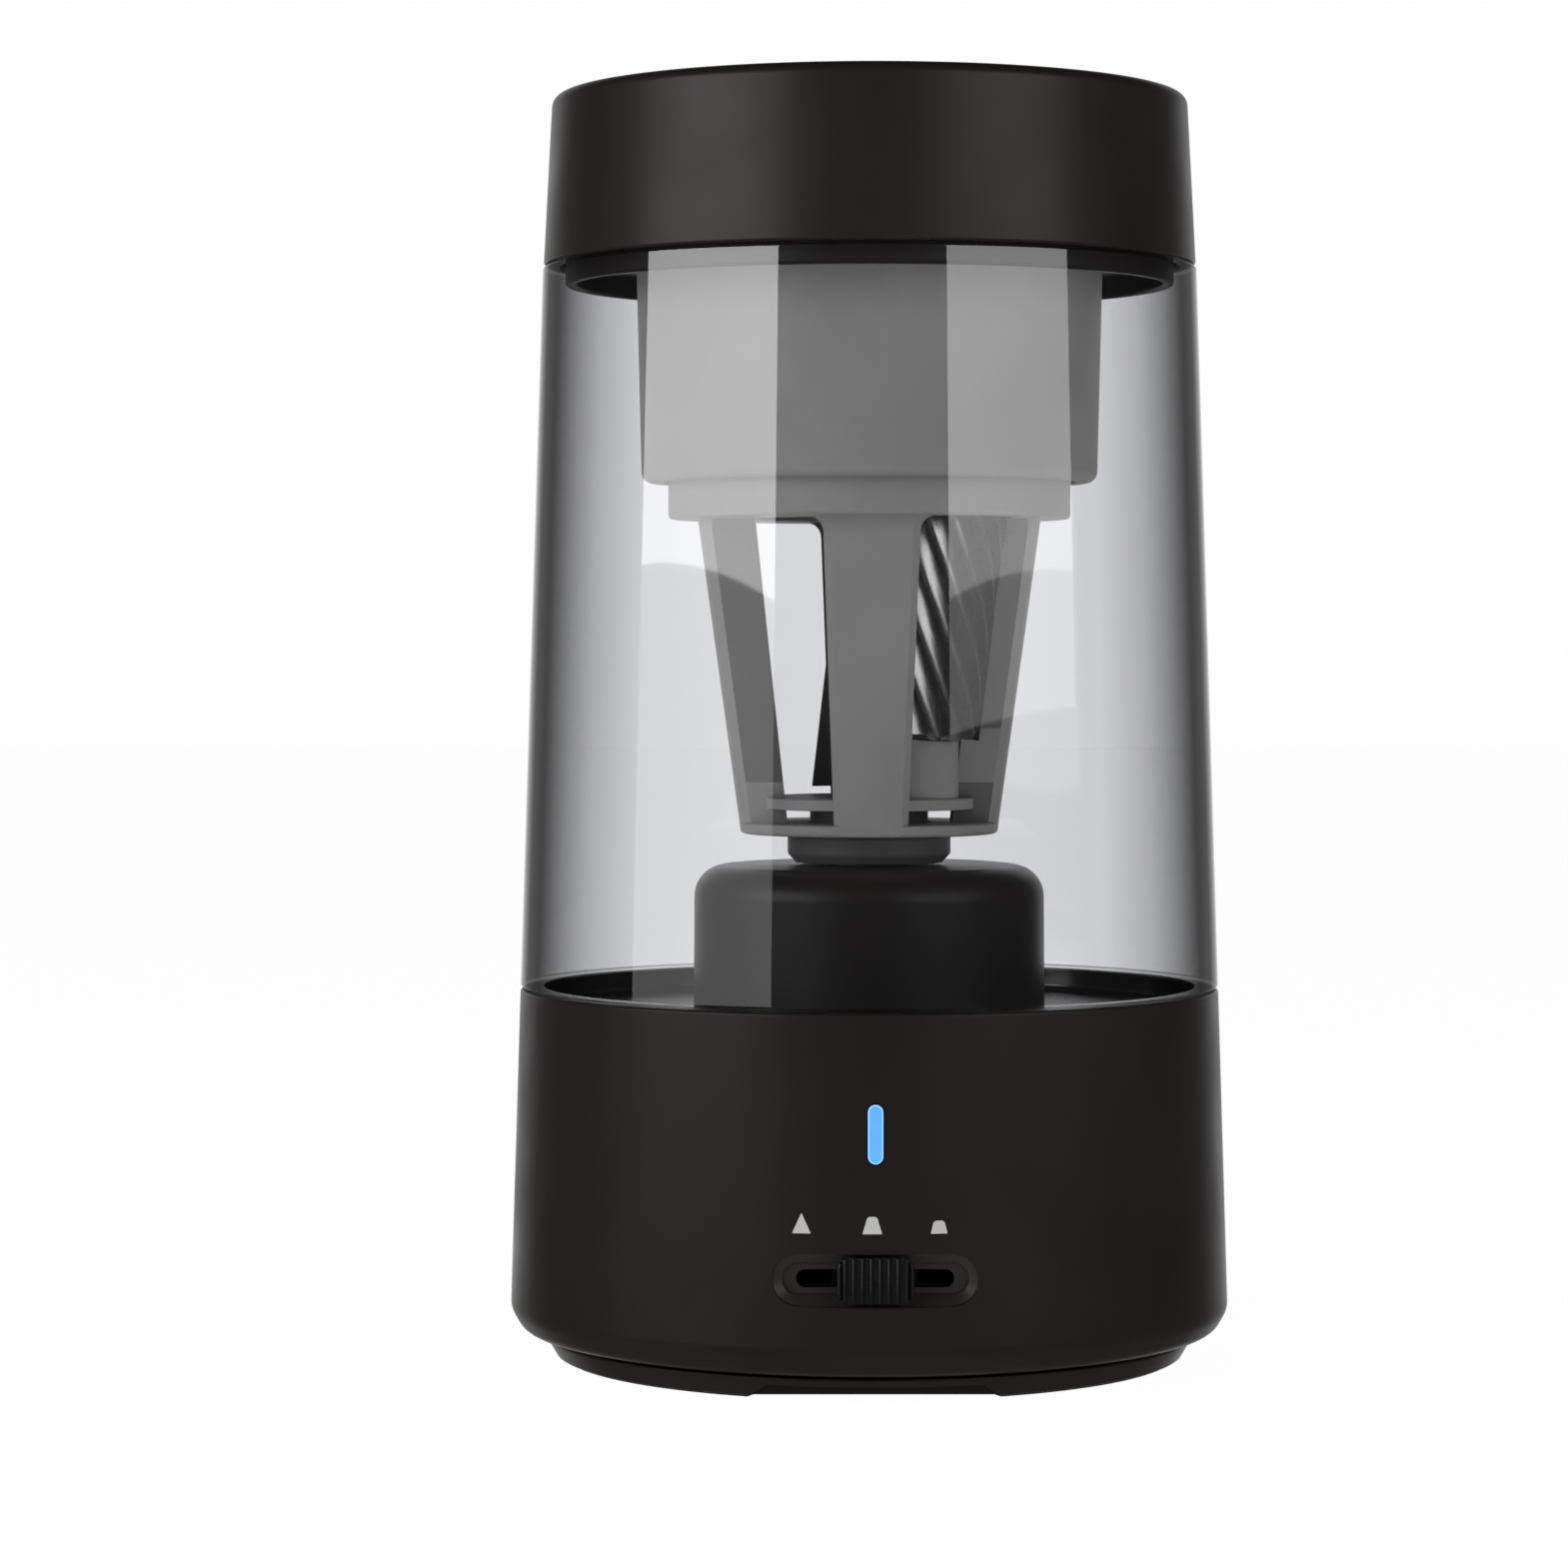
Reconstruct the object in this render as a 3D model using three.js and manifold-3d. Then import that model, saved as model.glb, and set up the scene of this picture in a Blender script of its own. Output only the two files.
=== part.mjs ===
// Cordless desktop pencil sharpener with a helical cutter: a black base with the motor and its gears,
// a clear bin for the shavings, and a black cap that carries the cutter unit.
// Millimetres, +Z up, standing on z = 0 with its main axis on Z. The front, with the slider, faces -Y.
import * as THREE from "three";
import { mergeVertices } from "three/addons/utils/BufferGeometryUtils.js";
import Module from "manifold-3d";

const wasm = await Module();
wasm.setup();

// ---------------------------------------------------------------- driving dimensions
const HEIGHT = 140;
const BASE_RADIUS = 40; // widest point, just above the foot
const SEAM_RADIUS = 38.9; // outside of base and bin where they meet
const BASE_TOP = 41;
const BIN_TOP = 121;
const BIN_TOP_RADIUS = 36.3;
const CAP_BOTTOM_RADIUS = 36.2;
const CAP_TOP_RADIUS = 35.2;
const WALL = 2;
const GAP = 0.3; // between faces of neighbouring pieces
const PENCIL_BORE = 4.4; // radius that passes an 8.5 mm pencil

// The cutter's axis leans away from the main axis. Both meet at the apex, below the cutter.
const CUTTER_TILT = THREE.MathUtils.degToRad(11);
const CUTTER_AZIMUTH = THREE.MathUtils.degToRad(-45);
const CUTTER_RADIUS = 6.8;
const POINT_TIP = 69; // height where the tip of a finished point stands
const APEX = POINT_TIP - CUTTER_RADIUS / Math.sin(CUTTER_TILT);

// The gears that spin the cutter are conical, with their tips at the apex.
const RING_TEETH = 38;
const PINION_TEETH = 12;
const PINION_SLOPE = Math.sin(CUTTER_TILT) / (RING_TEETH / PINION_TEETH - Math.cos(CUTTER_TILT));
const RING_SLOPE = Math.tan(CUTTER_TILT + Math.atan(PINION_SLOPE));
const PRESSURE_SLOPE = Math.tan(THREE.MathUtils.degToRad(20));

// The gear train in the base: motor pinion, idler with a large and a small gear, output gear.
const MOTOR_PINION = { teeth: 8, module: 0.5 };
const IDLER_LARGE = { teeth: 24, module: 0.5 };
const IDLER_SMALL = { teeth: 10, module: 0.6 };
const OUTPUT = { teeth: 30, module: 0.6 };
const pitchRadius = (gear) => (gear.teeth * gear.module) / 2;
const IDLER_Y = pitchRadius(IDLER_SMALL) + pitchRadius(OUTPUT);
const MOTOR_ANGLE = Math.PI / 4; // direction from idler to motor
const MOTOR_REACH = pitchRadius(MOTOR_PINION) + pitchRadius(IDLER_LARGE);
const MOTOR_X = MOTOR_REACH * Math.cos(MOTOR_ANGLE);
const MOTOR_Y = IDLER_Y + MOTOR_REACH * Math.sin(MOTOR_ANGLE);

const COVER_TOP = 2.5;
const DECK_TOP = 38.4;
const TOWER_TOP = 54.7;
const TOWER_RADIUS = 19.5;
const PLATE_BOTTOM = 31; // gearbox plate
const PLATE_TOP = 32.5;
const CAGE_BOTTOM = 58.2;
const COLLAR_BOTTOM = 93.2;
const COLLAR_TOP = 97.6;
const COLLAR_RADIUS = 22.4;
const HOUSING_BOTTOM = 97.2;
const HOUSING_RADIUS = 25.35;
const SLIDER_Z = 13.3;
const SLIDER_TRAVEL = 5.5; // each way
const WEDGE_SLOPE = 0.2; // rise of the stop pin for each millimetre of slider travel
const LIGHT_Z = 28.5;
const PORT_Z = 10;

const RING = 32; // facets round the large shells
const ROUND = 16; // facets round shafts, bores and bosses
const SMALL = 8; // facets round screws and pins

// ---------------------------------------------------------------- finishes
const FINISHES = {
  blackPlastic: { color: 0x24211f, roughness: 0.42, metalness: 0 },
  clearPlastic: { color: 0xb9bcc2, roughness: 0.08, metalness: 0, transparent: true, opacity: 0.35 },
  greyPlastic: { color: 0x6e6c69, roughness: 0.5, metalness: 0 },
  darkPlastic: { color: 0x4b4b4b, roughness: 0.5, metalness: 0 },
  whitePlastic: { color: 0xe4e2dc, roughness: 0.5, metalness: 0 },
  rubber: { color: 0x1c1c1c, roughness: 0.9, metalness: 0 },
  steel: { color: 0xb9b9bb, roughness: 0.28, metalness: 1 },
  toolSteel: { color: 0x9a9a9d, roughness: 0.3, metalness: 1 },
  bronze: { color: 0xa67c45, roughness: 0.45, metalness: 1 },
  brass: { color: 0xc9a552, roughness: 0.35, metalness: 1 },
  board: { color: 0x1f5a38, roughness: 0.55, metalness: 0 },
  cell: { color: 0xa9adb3, roughness: 0.4, metalness: 0.5 },
  light: { color: 0x5ba2f2, roughness: 0.3, metalness: 0, emissive: 0x2c6fd0 },
};
const finish = (name) => new THREE.MeshStandardMaterial(FINISHES[name]);

// ---------------------------------------------------------------- solids
// A closed geometry as a solid that can be cut and joined.
function solid(geometry) {
  const source = geometry.index ? geometry.toNonIndexed() : geometry;
  const bare = new THREE.BufferGeometry().setAttribute("position", source.getAttribute("position"));
  const merged = mergeVertices(bare, 1e-4);
  const corners = merged.index.array;
  const triVerts = [];
  for (let i = 0; i < corners.length; i += 3) {
    const [a, b, c] = corners.slice(i, i + 3);
    if (a !== b && b !== c && c !== a) triVerts.push(a, b, c);
  }
  const vertProperties = merged.getAttribute("position").array;
  const mesh = new wasm.Mesh({ numProp: 3, vertProperties, triVerts: new Uint32Array(triVerts) });
  return new wasm.Manifold(mesh);
}

function geometryOf(manifold) {
  const mesh = manifold.getMesh();
  const geometry = new THREE.BufferGeometry();
  geometry.setAttribute("position", new THREE.BufferAttribute(mesh.vertProperties, 3));
  geometry.setIndex(new THREE.BufferAttribute(mesh.triVerts, 1));
  return geometry;
}

const joined = (first, ...others) => others.reduce((sum, next) => sum.add(solid(next)), solid(first));
const cut = (body, ...tools) => tools.reduce((rest, tool) => rest.subtract(solid(tool)), body);

// ---------------------------------------------------------------- shapes
// A ring or disc turned about Z. Its profile is [radius, height] pairs, anticlockwise with Z up.
function turned(profile, facets = RING) {
  const onAxis = profile[0][0] === 0;
  const closed = onAxis ? profile : [...profile, profile[0]];
  const points = closed.map(([radius, z]) => new THREE.Vector2(radius, z));
  return new THREE.LatheGeometry(points, facets).rotateX(Math.PI / 2);
}

function block(x0, x1, y0, y1, z0, z1) {
  const box = new THREE.BoxGeometry(x1 - x0, y1 - y0, z1 - z0);
  return box.translate((x0 + x1) / 2, (y0 + y1) / 2, (z0 + z1) / 2);
}

function cone(bottomRadius, topRadius, z0, z1, facets = ROUND) {
  const shape = new THREE.CylinderGeometry(topRadius, bottomRadius, z1 - z0, facets);
  return shape.rotateX(Math.PI / 2).translate(0, 0, (z0 + z1) / 2);
}

const cylinder = (radius, z0, z1, facets = ROUND) => cone(radius, radius, z0, z1, facets);

function tube(inner, outer, z0, z1, facets = ROUND) {
  return turned([[inner, z0], [outer, z0], [outer, z1], [inner, z1]], facets);
}

// A slot with half-round ends, long way along X.
function stadium(length, width) {
  const radius = width / 2;
  const reach = length / 2 - radius;
  const shape = new THREE.Shape();
  shape.absarc(reach, 0, radius, -Math.PI / 2, Math.PI / 2);
  shape.absarc(-reach, 0, radius, Math.PI / 2, (3 * Math.PI) / 2);
  return shape;
}

function polygon(points) {
  return new THREE.Shape(points.map(([x, y]) => new THREE.Vector2(x, y)));
}

function raised(shape, z0, z1, steps = 1) {
  const options = { depth: z1 - z0, steps, bevelEnabled: false, curveSegments: 4 };
  return new THREE.ExtrudeGeometry(shape, options).translate(0, 0, z0);
}

// A shape drawn in X and Z, standing upright from y = back to y = front, which is nearer the viewer.
function upright(shape, back, front) {
  return raised(shape, 0, back - front).rotateX(Math.PI / 2).translate(0, back, 0);
}

// Moves every point of a geometry by a function of its place.
function reshaped(geometry, move) {
  const position = geometry.getAttribute("position");
  const point = new THREE.Vector3();
  for (let i = 0; i < position.count; i += 1) {
    point.fromBufferAttribute(position, i);
    move(point);
    position.setXYZ(i, point.x, point.y, point.z);
  }
  return geometry;
}

// A gear outline with straight flanks and one tooth centred on the angle turn.
function gearOutline(teeth, radius, { addendum, dedendum, thickness }, turn = 0) {
  const foot = thickness / 2 + dedendum * PRESSURE_SLOPE;
  const tip = thickness / 2 - addendum * PRESSURE_SLOPE;
  const corners = [
    [radius - dedendum, -foot],
    [radius + addendum, -tip],
    [radius + addendum, tip],
    [radius - dedendum, foot],
  ];
  const points = [];
  for (let tooth = 0; tooth < teeth; tooth += 1) {
    for (const [distance, offset] of corners) {
      const angle = turn + (2 * Math.PI * tooth) / teeth + offset / distance;
      points.push([distance * Math.cos(angle), distance * Math.sin(angle)]);
    }
  }
  return polygon(points);
}

function spurOutline(gear, turn) {
  const { teeth, module: size } = gear;
  const tooth = { addendum: 0.8 * size, dedendum: 1.05 * size, thickness: 1.3 * size };
  return gearOutline(teeth, pitchRadius(gear), tooth, turn);
}

// Widens a gear in step with its distance from the apex, which is the geometry's own origin.
function conical(geometry, trueDistance) {
  return reshaped(geometry, (point) => {
    point.x *= point.z / trueDistance;
    point.y *= point.z / trueDistance;
  });
}

// Places of identical pieces spread round the axis.
function polar(radius, degrees) {
  const angle = THREE.MathUtils.degToRad(degrees);
  return [radius * Math.cos(angle), radius * Math.sin(angle)];
}

// ---------------------------------------------------------------- the assembly
const sharpener = new THREE.Group();
const cutterAxis = new THREE.Group(); // its Z is the cutter's axis, its X points outwards
cutterAxis.position.z = APEX;
cutterAxis.rotation.set(0, CUTTER_TILT, CUTTER_AZIMUTH, "ZYX");
cutterAxis.updateMatrix();
const idlerAxis = new THREE.Group();
idlerAxis.position.y = IDLER_Y;
const motorAxis = new THREE.Group();
motorAxis.position.set(MOTOR_X, MOTOR_Y, 0);
sharpener.add(cutterAxis, idlerAxis, motorAxis);

function piece(name, finishName, shape, parent = sharpener) {
  const geometry = shape.isBufferGeometry ? shape : geometryOf(shape);
  const mesh = new THREE.Mesh(geometry, finish(finishName));
  mesh.name = name;
  parent.add(mesh);
  return mesh;
}

// Distance along the cutter's axis from the apex to the height z.
const along = (z) => (z - APEX) / Math.cos(CUTTER_TILT);
// A shape made on the cutter's axis, carried to its place.
const onCutterAxis = (shape) => shape.applyMatrix4(cutterAxis.matrix);

// ---------------------------------------------------------------- screws
const SCREW = { headRadius: 2.5, radius: 1.1, headHeight: 1.4 };
const RECESS = { radius: 1.2, depth: 0.8 };
const PLAIN_HOLE = SCREW.radius + 0.3; // radius of a hole that a screw passes through freely
const THREAD_HOLE = SCREW.radius + 0.15; // radius of a hole that a screw is driven into

// A screw with its head down at z = 0, its shank up, and a six-sided recess in the head.
function screw(length, headRadius = SCREW.headRadius, countersunk = false) {
  const headTop = countersunk ? SCREW.radius : headRadius;
  const profile = [
    [0, 0],
    [headRadius, 0],
    [headTop, SCREW.headHeight],
    [SCREW.radius, SCREW.headHeight + 0.01],
    [SCREW.radius, length],
    [0, length],
  ];
  return cut(solid(turned(profile, SMALL)), cylinder(RECESS.radius, -1, RECESS.depth, 6));
}

function placedScrew(name, shape, x, y, z, headUp = false) {
  const mesh = piece(name, "steel", shape);
  mesh.position.set(x, y, z);
  if (headUp) mesh.rotation.x = Math.PI;
}

// ---------------------------------------------------------------- base: shell
const COVER_SCREW_CIRCLE = 28; // clear of the feet's grooves and of the notch
const COVER_SCREW_ANGLES = [40, 160, 280];
const COVER_BOSS_TOP = 8.5;
const COVER_BOSS_RADIUS = 3;
const FLANGE = COVER_TOP + GAP; // underside of the shell's inward flange
const SHELL = { flangeInner: 29, flangeTop: 4.8, inner: 37.4, rimInner: 36.6, ledge: 36.1, ledgeInner: 35 };
const POCKET = { length: 21.5, width: 5.4, inset: 1.1, floor: -37.2 };
const SLIDER_WALL = { halfLength: 14, halfHeight: 3.9, back: -35.2 }; // thickens the shell behind the pocket
const STEM = { halfWidth: 2, halfHeight: 0.7 };
const LATCH = { halfThickness: 0.5, halfWidth: 1.2, depth: 1 };
const BOARD = {
  y: -30,
  halfThickness: 0.8,
  halfWidth: 16,
  bottom: 18.5,
  top: 34,
  postX: 14.5,
  postBottom: 22,
  postTop: 27,
};
const LIGHT = { length: 6.2, width: 1.6, back: -32.4, flangeLength: 8.4, flangeWidth: 3.8 };
const PORT = { length: 8.9, height: 3.2, depth: 7.3, front: 31.3, wall: 0.3 };

// A pocket with sloping sides: the slot gets narrower by the inset on its way in.
function sliderPocket() {
  const outerRadius = POCKET.width / 2;
  const reach = POCKET.length / 2 - outerRadius;
  const innerRadius = outerRadius - POCKET.inset;
  const depth = BASE_RADIUS + POCKET.floor;
  const slot = reshaped(raised(stadium(POCKET.length, POCKET.width), 0, depth), (point) => {
    const centre = THREE.MathUtils.clamp(point.x, -reach, reach);
    const radius = THREE.MathUtils.lerp(innerRadius, outerRadius, point.z / depth);
    point.x = centre + ((point.x - centre) * radius) / outerRadius;
    point.y *= radius / outerRadius;
  });
  return slot.rotateX(Math.PI / 2).translate(0, POCKET.floor, SLIDER_Z);
}

function baseShell() {
  const wall = turned([
    [SHELL.flangeInner, FLANGE],
    [36.5, FLANGE],
    [38.6, FLANGE + 0.6],
    [39.6, FLANGE + 1.5],
    [BASE_RADIUS, FLANGE + 2.8],
    [SEAM_RADIUS, BASE_TOP],
    [SHELL.rimInner, BASE_TOP],
    [SHELL.rimInner, SHELL.ledge],
    [SHELL.ledgeInner, SHELL.ledge],
    [SHELL.ledgeInner, SHELL.ledge - 1.6],
    [SHELL.inner - 0.2, SHELL.ledge - 3.6],
    [SHELL.inner, SHELL.flangeTop + 1.7],
    [SHELL.inner - 1.4, SHELL.flangeTop],
    [SHELL.flangeInner, SHELL.flangeTop],
  ]);
  const { halfLength, halfHeight, back } = SLIDER_WALL;
  const thickened = block(-halfLength, halfLength, -39, back, SLIDER_Z - halfHeight, SLIDER_Z + halfHeight);
  const sliderWall = solid(thickened).intersect(solid(cylinder(38.5, 9, 18, RING)));
  const boardPosts = [-1, 1].map((side) => (
    block(side * BOARD.postX - 1.5, side * BOARD.postX + 1.5, -35.6, BOARD.y - BOARD.halfThickness - GAP,
      BOARD.postBottom, BOARD.postTop)
  ));
  const bosses = COVER_SCREW_ANGLES.map((angle) => {
    const [x, y] = polar(COVER_SCREW_CIRCLE, angle);
    return cylinder(COVER_BOSS_RADIUS, FLANGE, COVER_BOSS_TOP, SMALL).translate(x, y, 0);
  });
  const screwHoles = COVER_SCREW_ANGLES.map((angle) => {
    const [x, y] = polar(COVER_SCREW_CIRCLE, angle);
    return cylinder(THREAD_HOLE, 0, COVER_BOSS_TOP + 1, SMALL).translate(x, y, 0);
  });
  const stemSlot = stadium(2 * (STEM.halfWidth + SLIDER_TRAVEL) + 1, 2 * STEM.halfHeight + 0.5);
  const lightSlot = raised(stadium(LIGHT.length + GAP, LIGHT.width + GAP), 0, 8);
  const portSlot = raised(stadium(PORT.length + 0.7, PORT.height + 0.6), 0, 5).rotateX(-Math.PI / 2);
  const latchMarks = [-1, 1].map((side) => {
    const { halfThickness, halfWidth, depth } = LATCH;
    const mark = block(-halfThickness, halfThickness, -halfWidth, halfWidth, BASE_TOP - depth, BASE_TOP + 1);
    return mark.translate(side * (SEAM_RADIUS + 0.1), 0, 0);
  });
  return cut(
    joined(wall, ...boardPosts, ...bosses).add(sliderWall),
    ...screwHoles,
    sliderPocket(),
    upright(stemSlot, -34, -38).translate(0, 0, SLIDER_Z),
    upwards(lightSlot).translate(0, -34, LIGHT_Z),
    portSlot.translate(0, 36, PORT_Z),
    ...latchMarks,
  );
}
piece("base_shell", "blackPlastic", baseShell());

// ---------------------------------------------------------------- base: deck with the drive tower
const SPINDLE = { bore: 1.2, radius: 3, bushRadius: 4.3 };
const TOWER = { inner: 17.2, roof: 52.2, sleeveRadius: 6.8, sleeveBottom: 49.5 };

piece("base_deck", "blackPlastic", turned([
  [TOWER.inner, DECK_TOP - WALL],
  [SHELL.rimInner - GAP, DECK_TOP - WALL],
  [SHELL.rimInner - GAP, DECK_TOP],
  [TOWER_RADIUS, DECK_TOP],
  [TOWER_RADIUS, TOWER_TOP - 3.5],
  [TOWER_RADIUS - 1, TOWER_TOP - 1],
  [TOWER_RADIUS - 3.5, TOWER_TOP],
  [SPINDLE.bushRadius + GAP, TOWER_TOP],
  [SPINDLE.bushRadius + GAP, TOWER.sleeveBottom],
  [TOWER.sleeveRadius, TOWER.sleeveBottom],
  [TOWER.sleeveRadius, TOWER.roof],
  [TOWER.inner - 2.4, TOWER.roof],
  [TOWER.inner, TOWER.roof - 2.2],
]));

// ---------------------------------------------------------------- base: cover, screws and feet
const COVER = { bottom: 0.25, bottomRadius: 34.9, radius: 36.2 };
const NOTCH = { halfWidth: 13.5, slant: 2, height: 1.6, back: -31.6 }; // in the front edge of the cover
const SINK = { radius: 3.1, straight: 0.8, depth: 2.3, bore: 1.5 }; // for the screws' heads
const FOOT = { inner: 32, outer: 34.4, halfAngle: 22, angles: [45, 135, 225, 315], top: 1 };

function footOutline(angle, margin) {
  const spread = THREE.MathUtils.degToRad(FOOT.halfAngle) + margin / FOOT.outer;
  const middle = THREE.MathUtils.degToRad(angle);
  const shape = new THREE.Shape();
  shape.absarc(0, 0, FOOT.outer + margin, middle - spread, middle + spread);
  shape.absarc(0, 0, FOOT.inner - margin, middle + spread, middle - spread, true);
  return shape;
}

function bottomCover() {
  const plate = turned([
    [0, COVER.bottom],
    [COVER.bottomRadius, COVER.bottom],
    [COVER.radius, COVER_TOP],
    [0, COVER_TOP],
  ]);
  const { halfWidth, slant, height } = NOTCH;
  const notch = polygon([
    [-halfWidth, 0],
    [halfWidth, 0],
    [halfWidth - slant, height],
    [slant - halfWidth, height],
  ]);
  const grooves = FOOT.angles.map((angle) => raised(footOutline(angle, 0.2), 0, FOOT.top + 0.2));
  const screwHoles = COVER_SCREW_ANGLES.flatMap((angle) => {
    const [x, y] = polar(COVER_SCREW_CIRCLE, angle);
    const mouth = cylinder(SINK.radius, 0, SINK.straight, SMALL);
    const slope = cone(SINK.radius, SINK.bore, SINK.straight - 0.01, SINK.depth, SMALL);
    const bore = cylinder(SINK.bore, 0, COVER_TOP + 1, SMALL);
    return [mouth, slope, bore].map((tool) => tool.translate(x, y, 0));
  });
  return cut(solid(plate), upright(notch, NOTCH.back, -38), ...grooves, ...screwHoles);
}
piece("bottom_cover", "blackPlastic", bottomCover());
FOOT.angles.forEach((angle, i) => {
  piece(`foot_pad_${i + 1}`, "rubber", raised(footOutline(angle, 0), 0, FOOT.top));
});
COVER_SCREW_ANGLES.forEach((angle, i) => {
  const [x, y] = polar(COVER_SCREW_CIRCLE, angle);
  placedScrew(`cover_screw_${i + 1}`, screw(7, SCREW.headRadius, true), x, y, 1);
});

// ---------------------------------------------------------------- base: motor and gearbox
const MOTOR = { radius: 10.2, flat: 7.7, bottom: 5.5, top: 30.6, shaft: 1, screwCircle: 6.2 };
const CAN = { inner: 9.2, innerHalfWidth: 9, innerFlat: 6.7, bottom: MOTOR.bottom + 2, roof: MOTOR.top - 1 };
const MOTOR_OPENING = 1.3; // radius round the shaft, in the can and in the end cap
const END_CAP_TOP = MOTOR.bottom + 1.7;
const ARMATURE = { radius: 6.2, bottom: 12, top: 25 };
const MOTOR_SHAFT = { bottom: MOTOR.bottom + 0.5, top: 36.1 };
const MOTOR_GEAR = { bottom: PLATE_TOP + 0.6, top: 36 };
const MOTOR_SCREWS = [135, -45].map((angle) => {
  const [x, y] = polar(MOTOR.screwCircle, angle);
  return [MOTOR_X + x, MOTOR_Y + y];
});

// Cuts a round motor part to its two flats.
function flatted(body) {
  const size = MOTOR.radius + 1;
  return body.intersect(solid(block(-size, size, -MOTOR.flat, MOTOR.flat, 0, HEIGHT)));
}

piece("motor_can", "steel", flatted(solid(turned([
  [CAN.inner, CAN.bottom],
  [MOTOR.radius, CAN.bottom],
  [MOTOR.radius, MOTOR.top],
  [MOTOR_OPENING, MOTOR.top],
  [MOTOR_OPENING, CAN.roof],
  [CAN.inner, CAN.roof],
], ROUND))).subtract(solid(
  block(-CAN.innerHalfWidth, CAN.innerHalfWidth, -CAN.innerFlat, CAN.innerFlat, 0, CAN.roof),
)), motorAxis);
piece("motor_end_cap", "whitePlastic", flatted(solid(turned([
  [MOTOR_OPENING, MOTOR.bottom],
  [MOTOR.radius, MOTOR.bottom],
  [MOTOR.radius, END_CAP_TOP],
  [MOTOR_OPENING, END_CAP_TOP],
], ROUND))), motorAxis);
piece("motor_armature", "bronze",
  tube(MOTOR.shaft + 0.1, ARMATURE.radius, ARMATURE.bottom, ARMATURE.top, SMALL), motorAxis);
piece("motor_shaft", "steel", cylinder(MOTOR.shaft, MOTOR_SHAFT.bottom, MOTOR_SHAFT.top, SMALL), motorAxis);
const PINION_TURN = MOTOR_ANGLE + Math.PI + Math.PI / MOTOR_PINION.teeth;
piece("motor_pinion", "brass", cut(
  solid(raised(spurOutline(MOTOR_PINION, PINION_TURN), MOTOR_GEAR.bottom, MOTOR_GEAR.top)),
  cylinder(MOTOR.shaft + 0.05, 0, HEIGHT, SMALL),
), motorAxis);

const IDLER = { bottom: PLATE_TOP + 0.5, largeTop: 35.9, smallTop: 43, pinTop: 45, pin: 1, bore: 1.15 };

// The idler's large gear has a tooth towards the motor, its small gear one towards the spindle.
piece("idler_gear", "whitePlastic", cut(
  joined(
    raised(spurOutline(IDLER_LARGE, MOTOR_ANGLE), IDLER.bottom, IDLER.largeTop),
    raised(spurOutline(IDLER_SMALL, -Math.PI / 2), IDLER.largeTop - 0.1, IDLER.smallTop),
  ),
  cylinder(IDLER.bore, 0, HEIGHT, SMALL),
), idlerAxis);
piece("idler_pin", "steel", cylinder(IDLER.pin, PLATE_BOTTOM + 0.2, IDLER.pinTop, SMALL), idlerAxis);

// The gearbox plate hangs from the deck on three posts.
const GEARBOX = { middle: 2, radius: 22.5, postCircle: 19.8, postRadius: 2.2, postAngles: [207, 333, 125] };
const POST_TOP = DECK_TOP - WALL - GAP;
const PLATE_HOLE = { screw: 1.3, idlerPin: IDLER.pin + 0.05, motorPinion: 2.4 }; // radii

function gearboxPlate() {
  const outline = new THREE.Shape();
  outline.absarc(0, GEARBOX.middle, GEARBOX.radius, 0, 2 * Math.PI);
  const plate = raised(outline, PLATE_BOTTOM, PLATE_TOP);
  const posts = GEARBOX.postAngles.map((angle) => {
    const [x, y] = polar(GEARBOX.postCircle, angle);
    return cylinder(GEARBOX.postRadius, PLATE_BOTTOM, POST_TOP, SMALL).translate(x, y, 0);
  });
  const screwHoles = MOTOR_SCREWS.map(([x, y]) => (
    cylinder(PLATE_HOLE.screw, 0, HEIGHT, SMALL).translate(x, y, 0)
  ));
  return cut(
    joined(plate, ...posts),
    cylinder(SPINDLE.bushRadius + GAP, 0, HEIGHT),
    cylinder(PLATE_HOLE.idlerPin, 0, HEIGHT, SMALL).translate(0, IDLER_Y, 0),
    cylinder(PLATE_HOLE.motorPinion, 0, HEIGHT, SMALL).translate(MOTOR_X, MOTOR_Y, 0),
    ...screwHoles,
  );
}
piece("gearbox_plate", "darkPlastic", gearboxPlate());
MOTOR_SCREWS.forEach(([x, y], i) => {
  placedScrew(`motor_screw_${i + 1}`, screw(3.2, 1.9), x, y, PLATE_TOP + GAP + SCREW.headHeight, true);
});

// ---------------------------------------------------------------- base: drive spindle
const DOG = { radius: 4, bottom: TOWER_TOP + 0.4, top: 59.2 };
const OUTPUT_GEAR = { bottom: 38.8, top: 42.5 };
const BUSH = { lowerTop: 34.5, upperBottom: 50, bore: SPINDLE.radius + 0.1 };

function driveSpindle() {
  const shaft = cylinder(SPINDLE.radius, PLATE_BOTTOM + 0.5, DOG.top - 0.5);
  const gear = raised(spurOutline(OUTPUT, Math.PI / 2 + Math.PI / OUTPUT.teeth),
    OUTPUT_GEAR.bottom, OUTPUT_GEAR.top);
  const dog = cylinder(DOG.radius, DOG.bottom, DOG.top, 6);
  return cut(joined(shaft, gear, dog), cylinder(SPINDLE.bore, 0, HEIGHT, SMALL));
}
piece("drive_spindle", "whitePlastic", driveSpindle());
piece("spindle_bush_lower", "bronze", tube(BUSH.bore, SPINDLE.bushRadius, PLATE_BOTTOM, BUSH.lowerTop));
piece("spindle_bush_upper", "bronze", tube(BUSH.bore, SPINDLE.bushRadius, BUSH.upperBottom, TOWER_TOP - 0.2));

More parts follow.
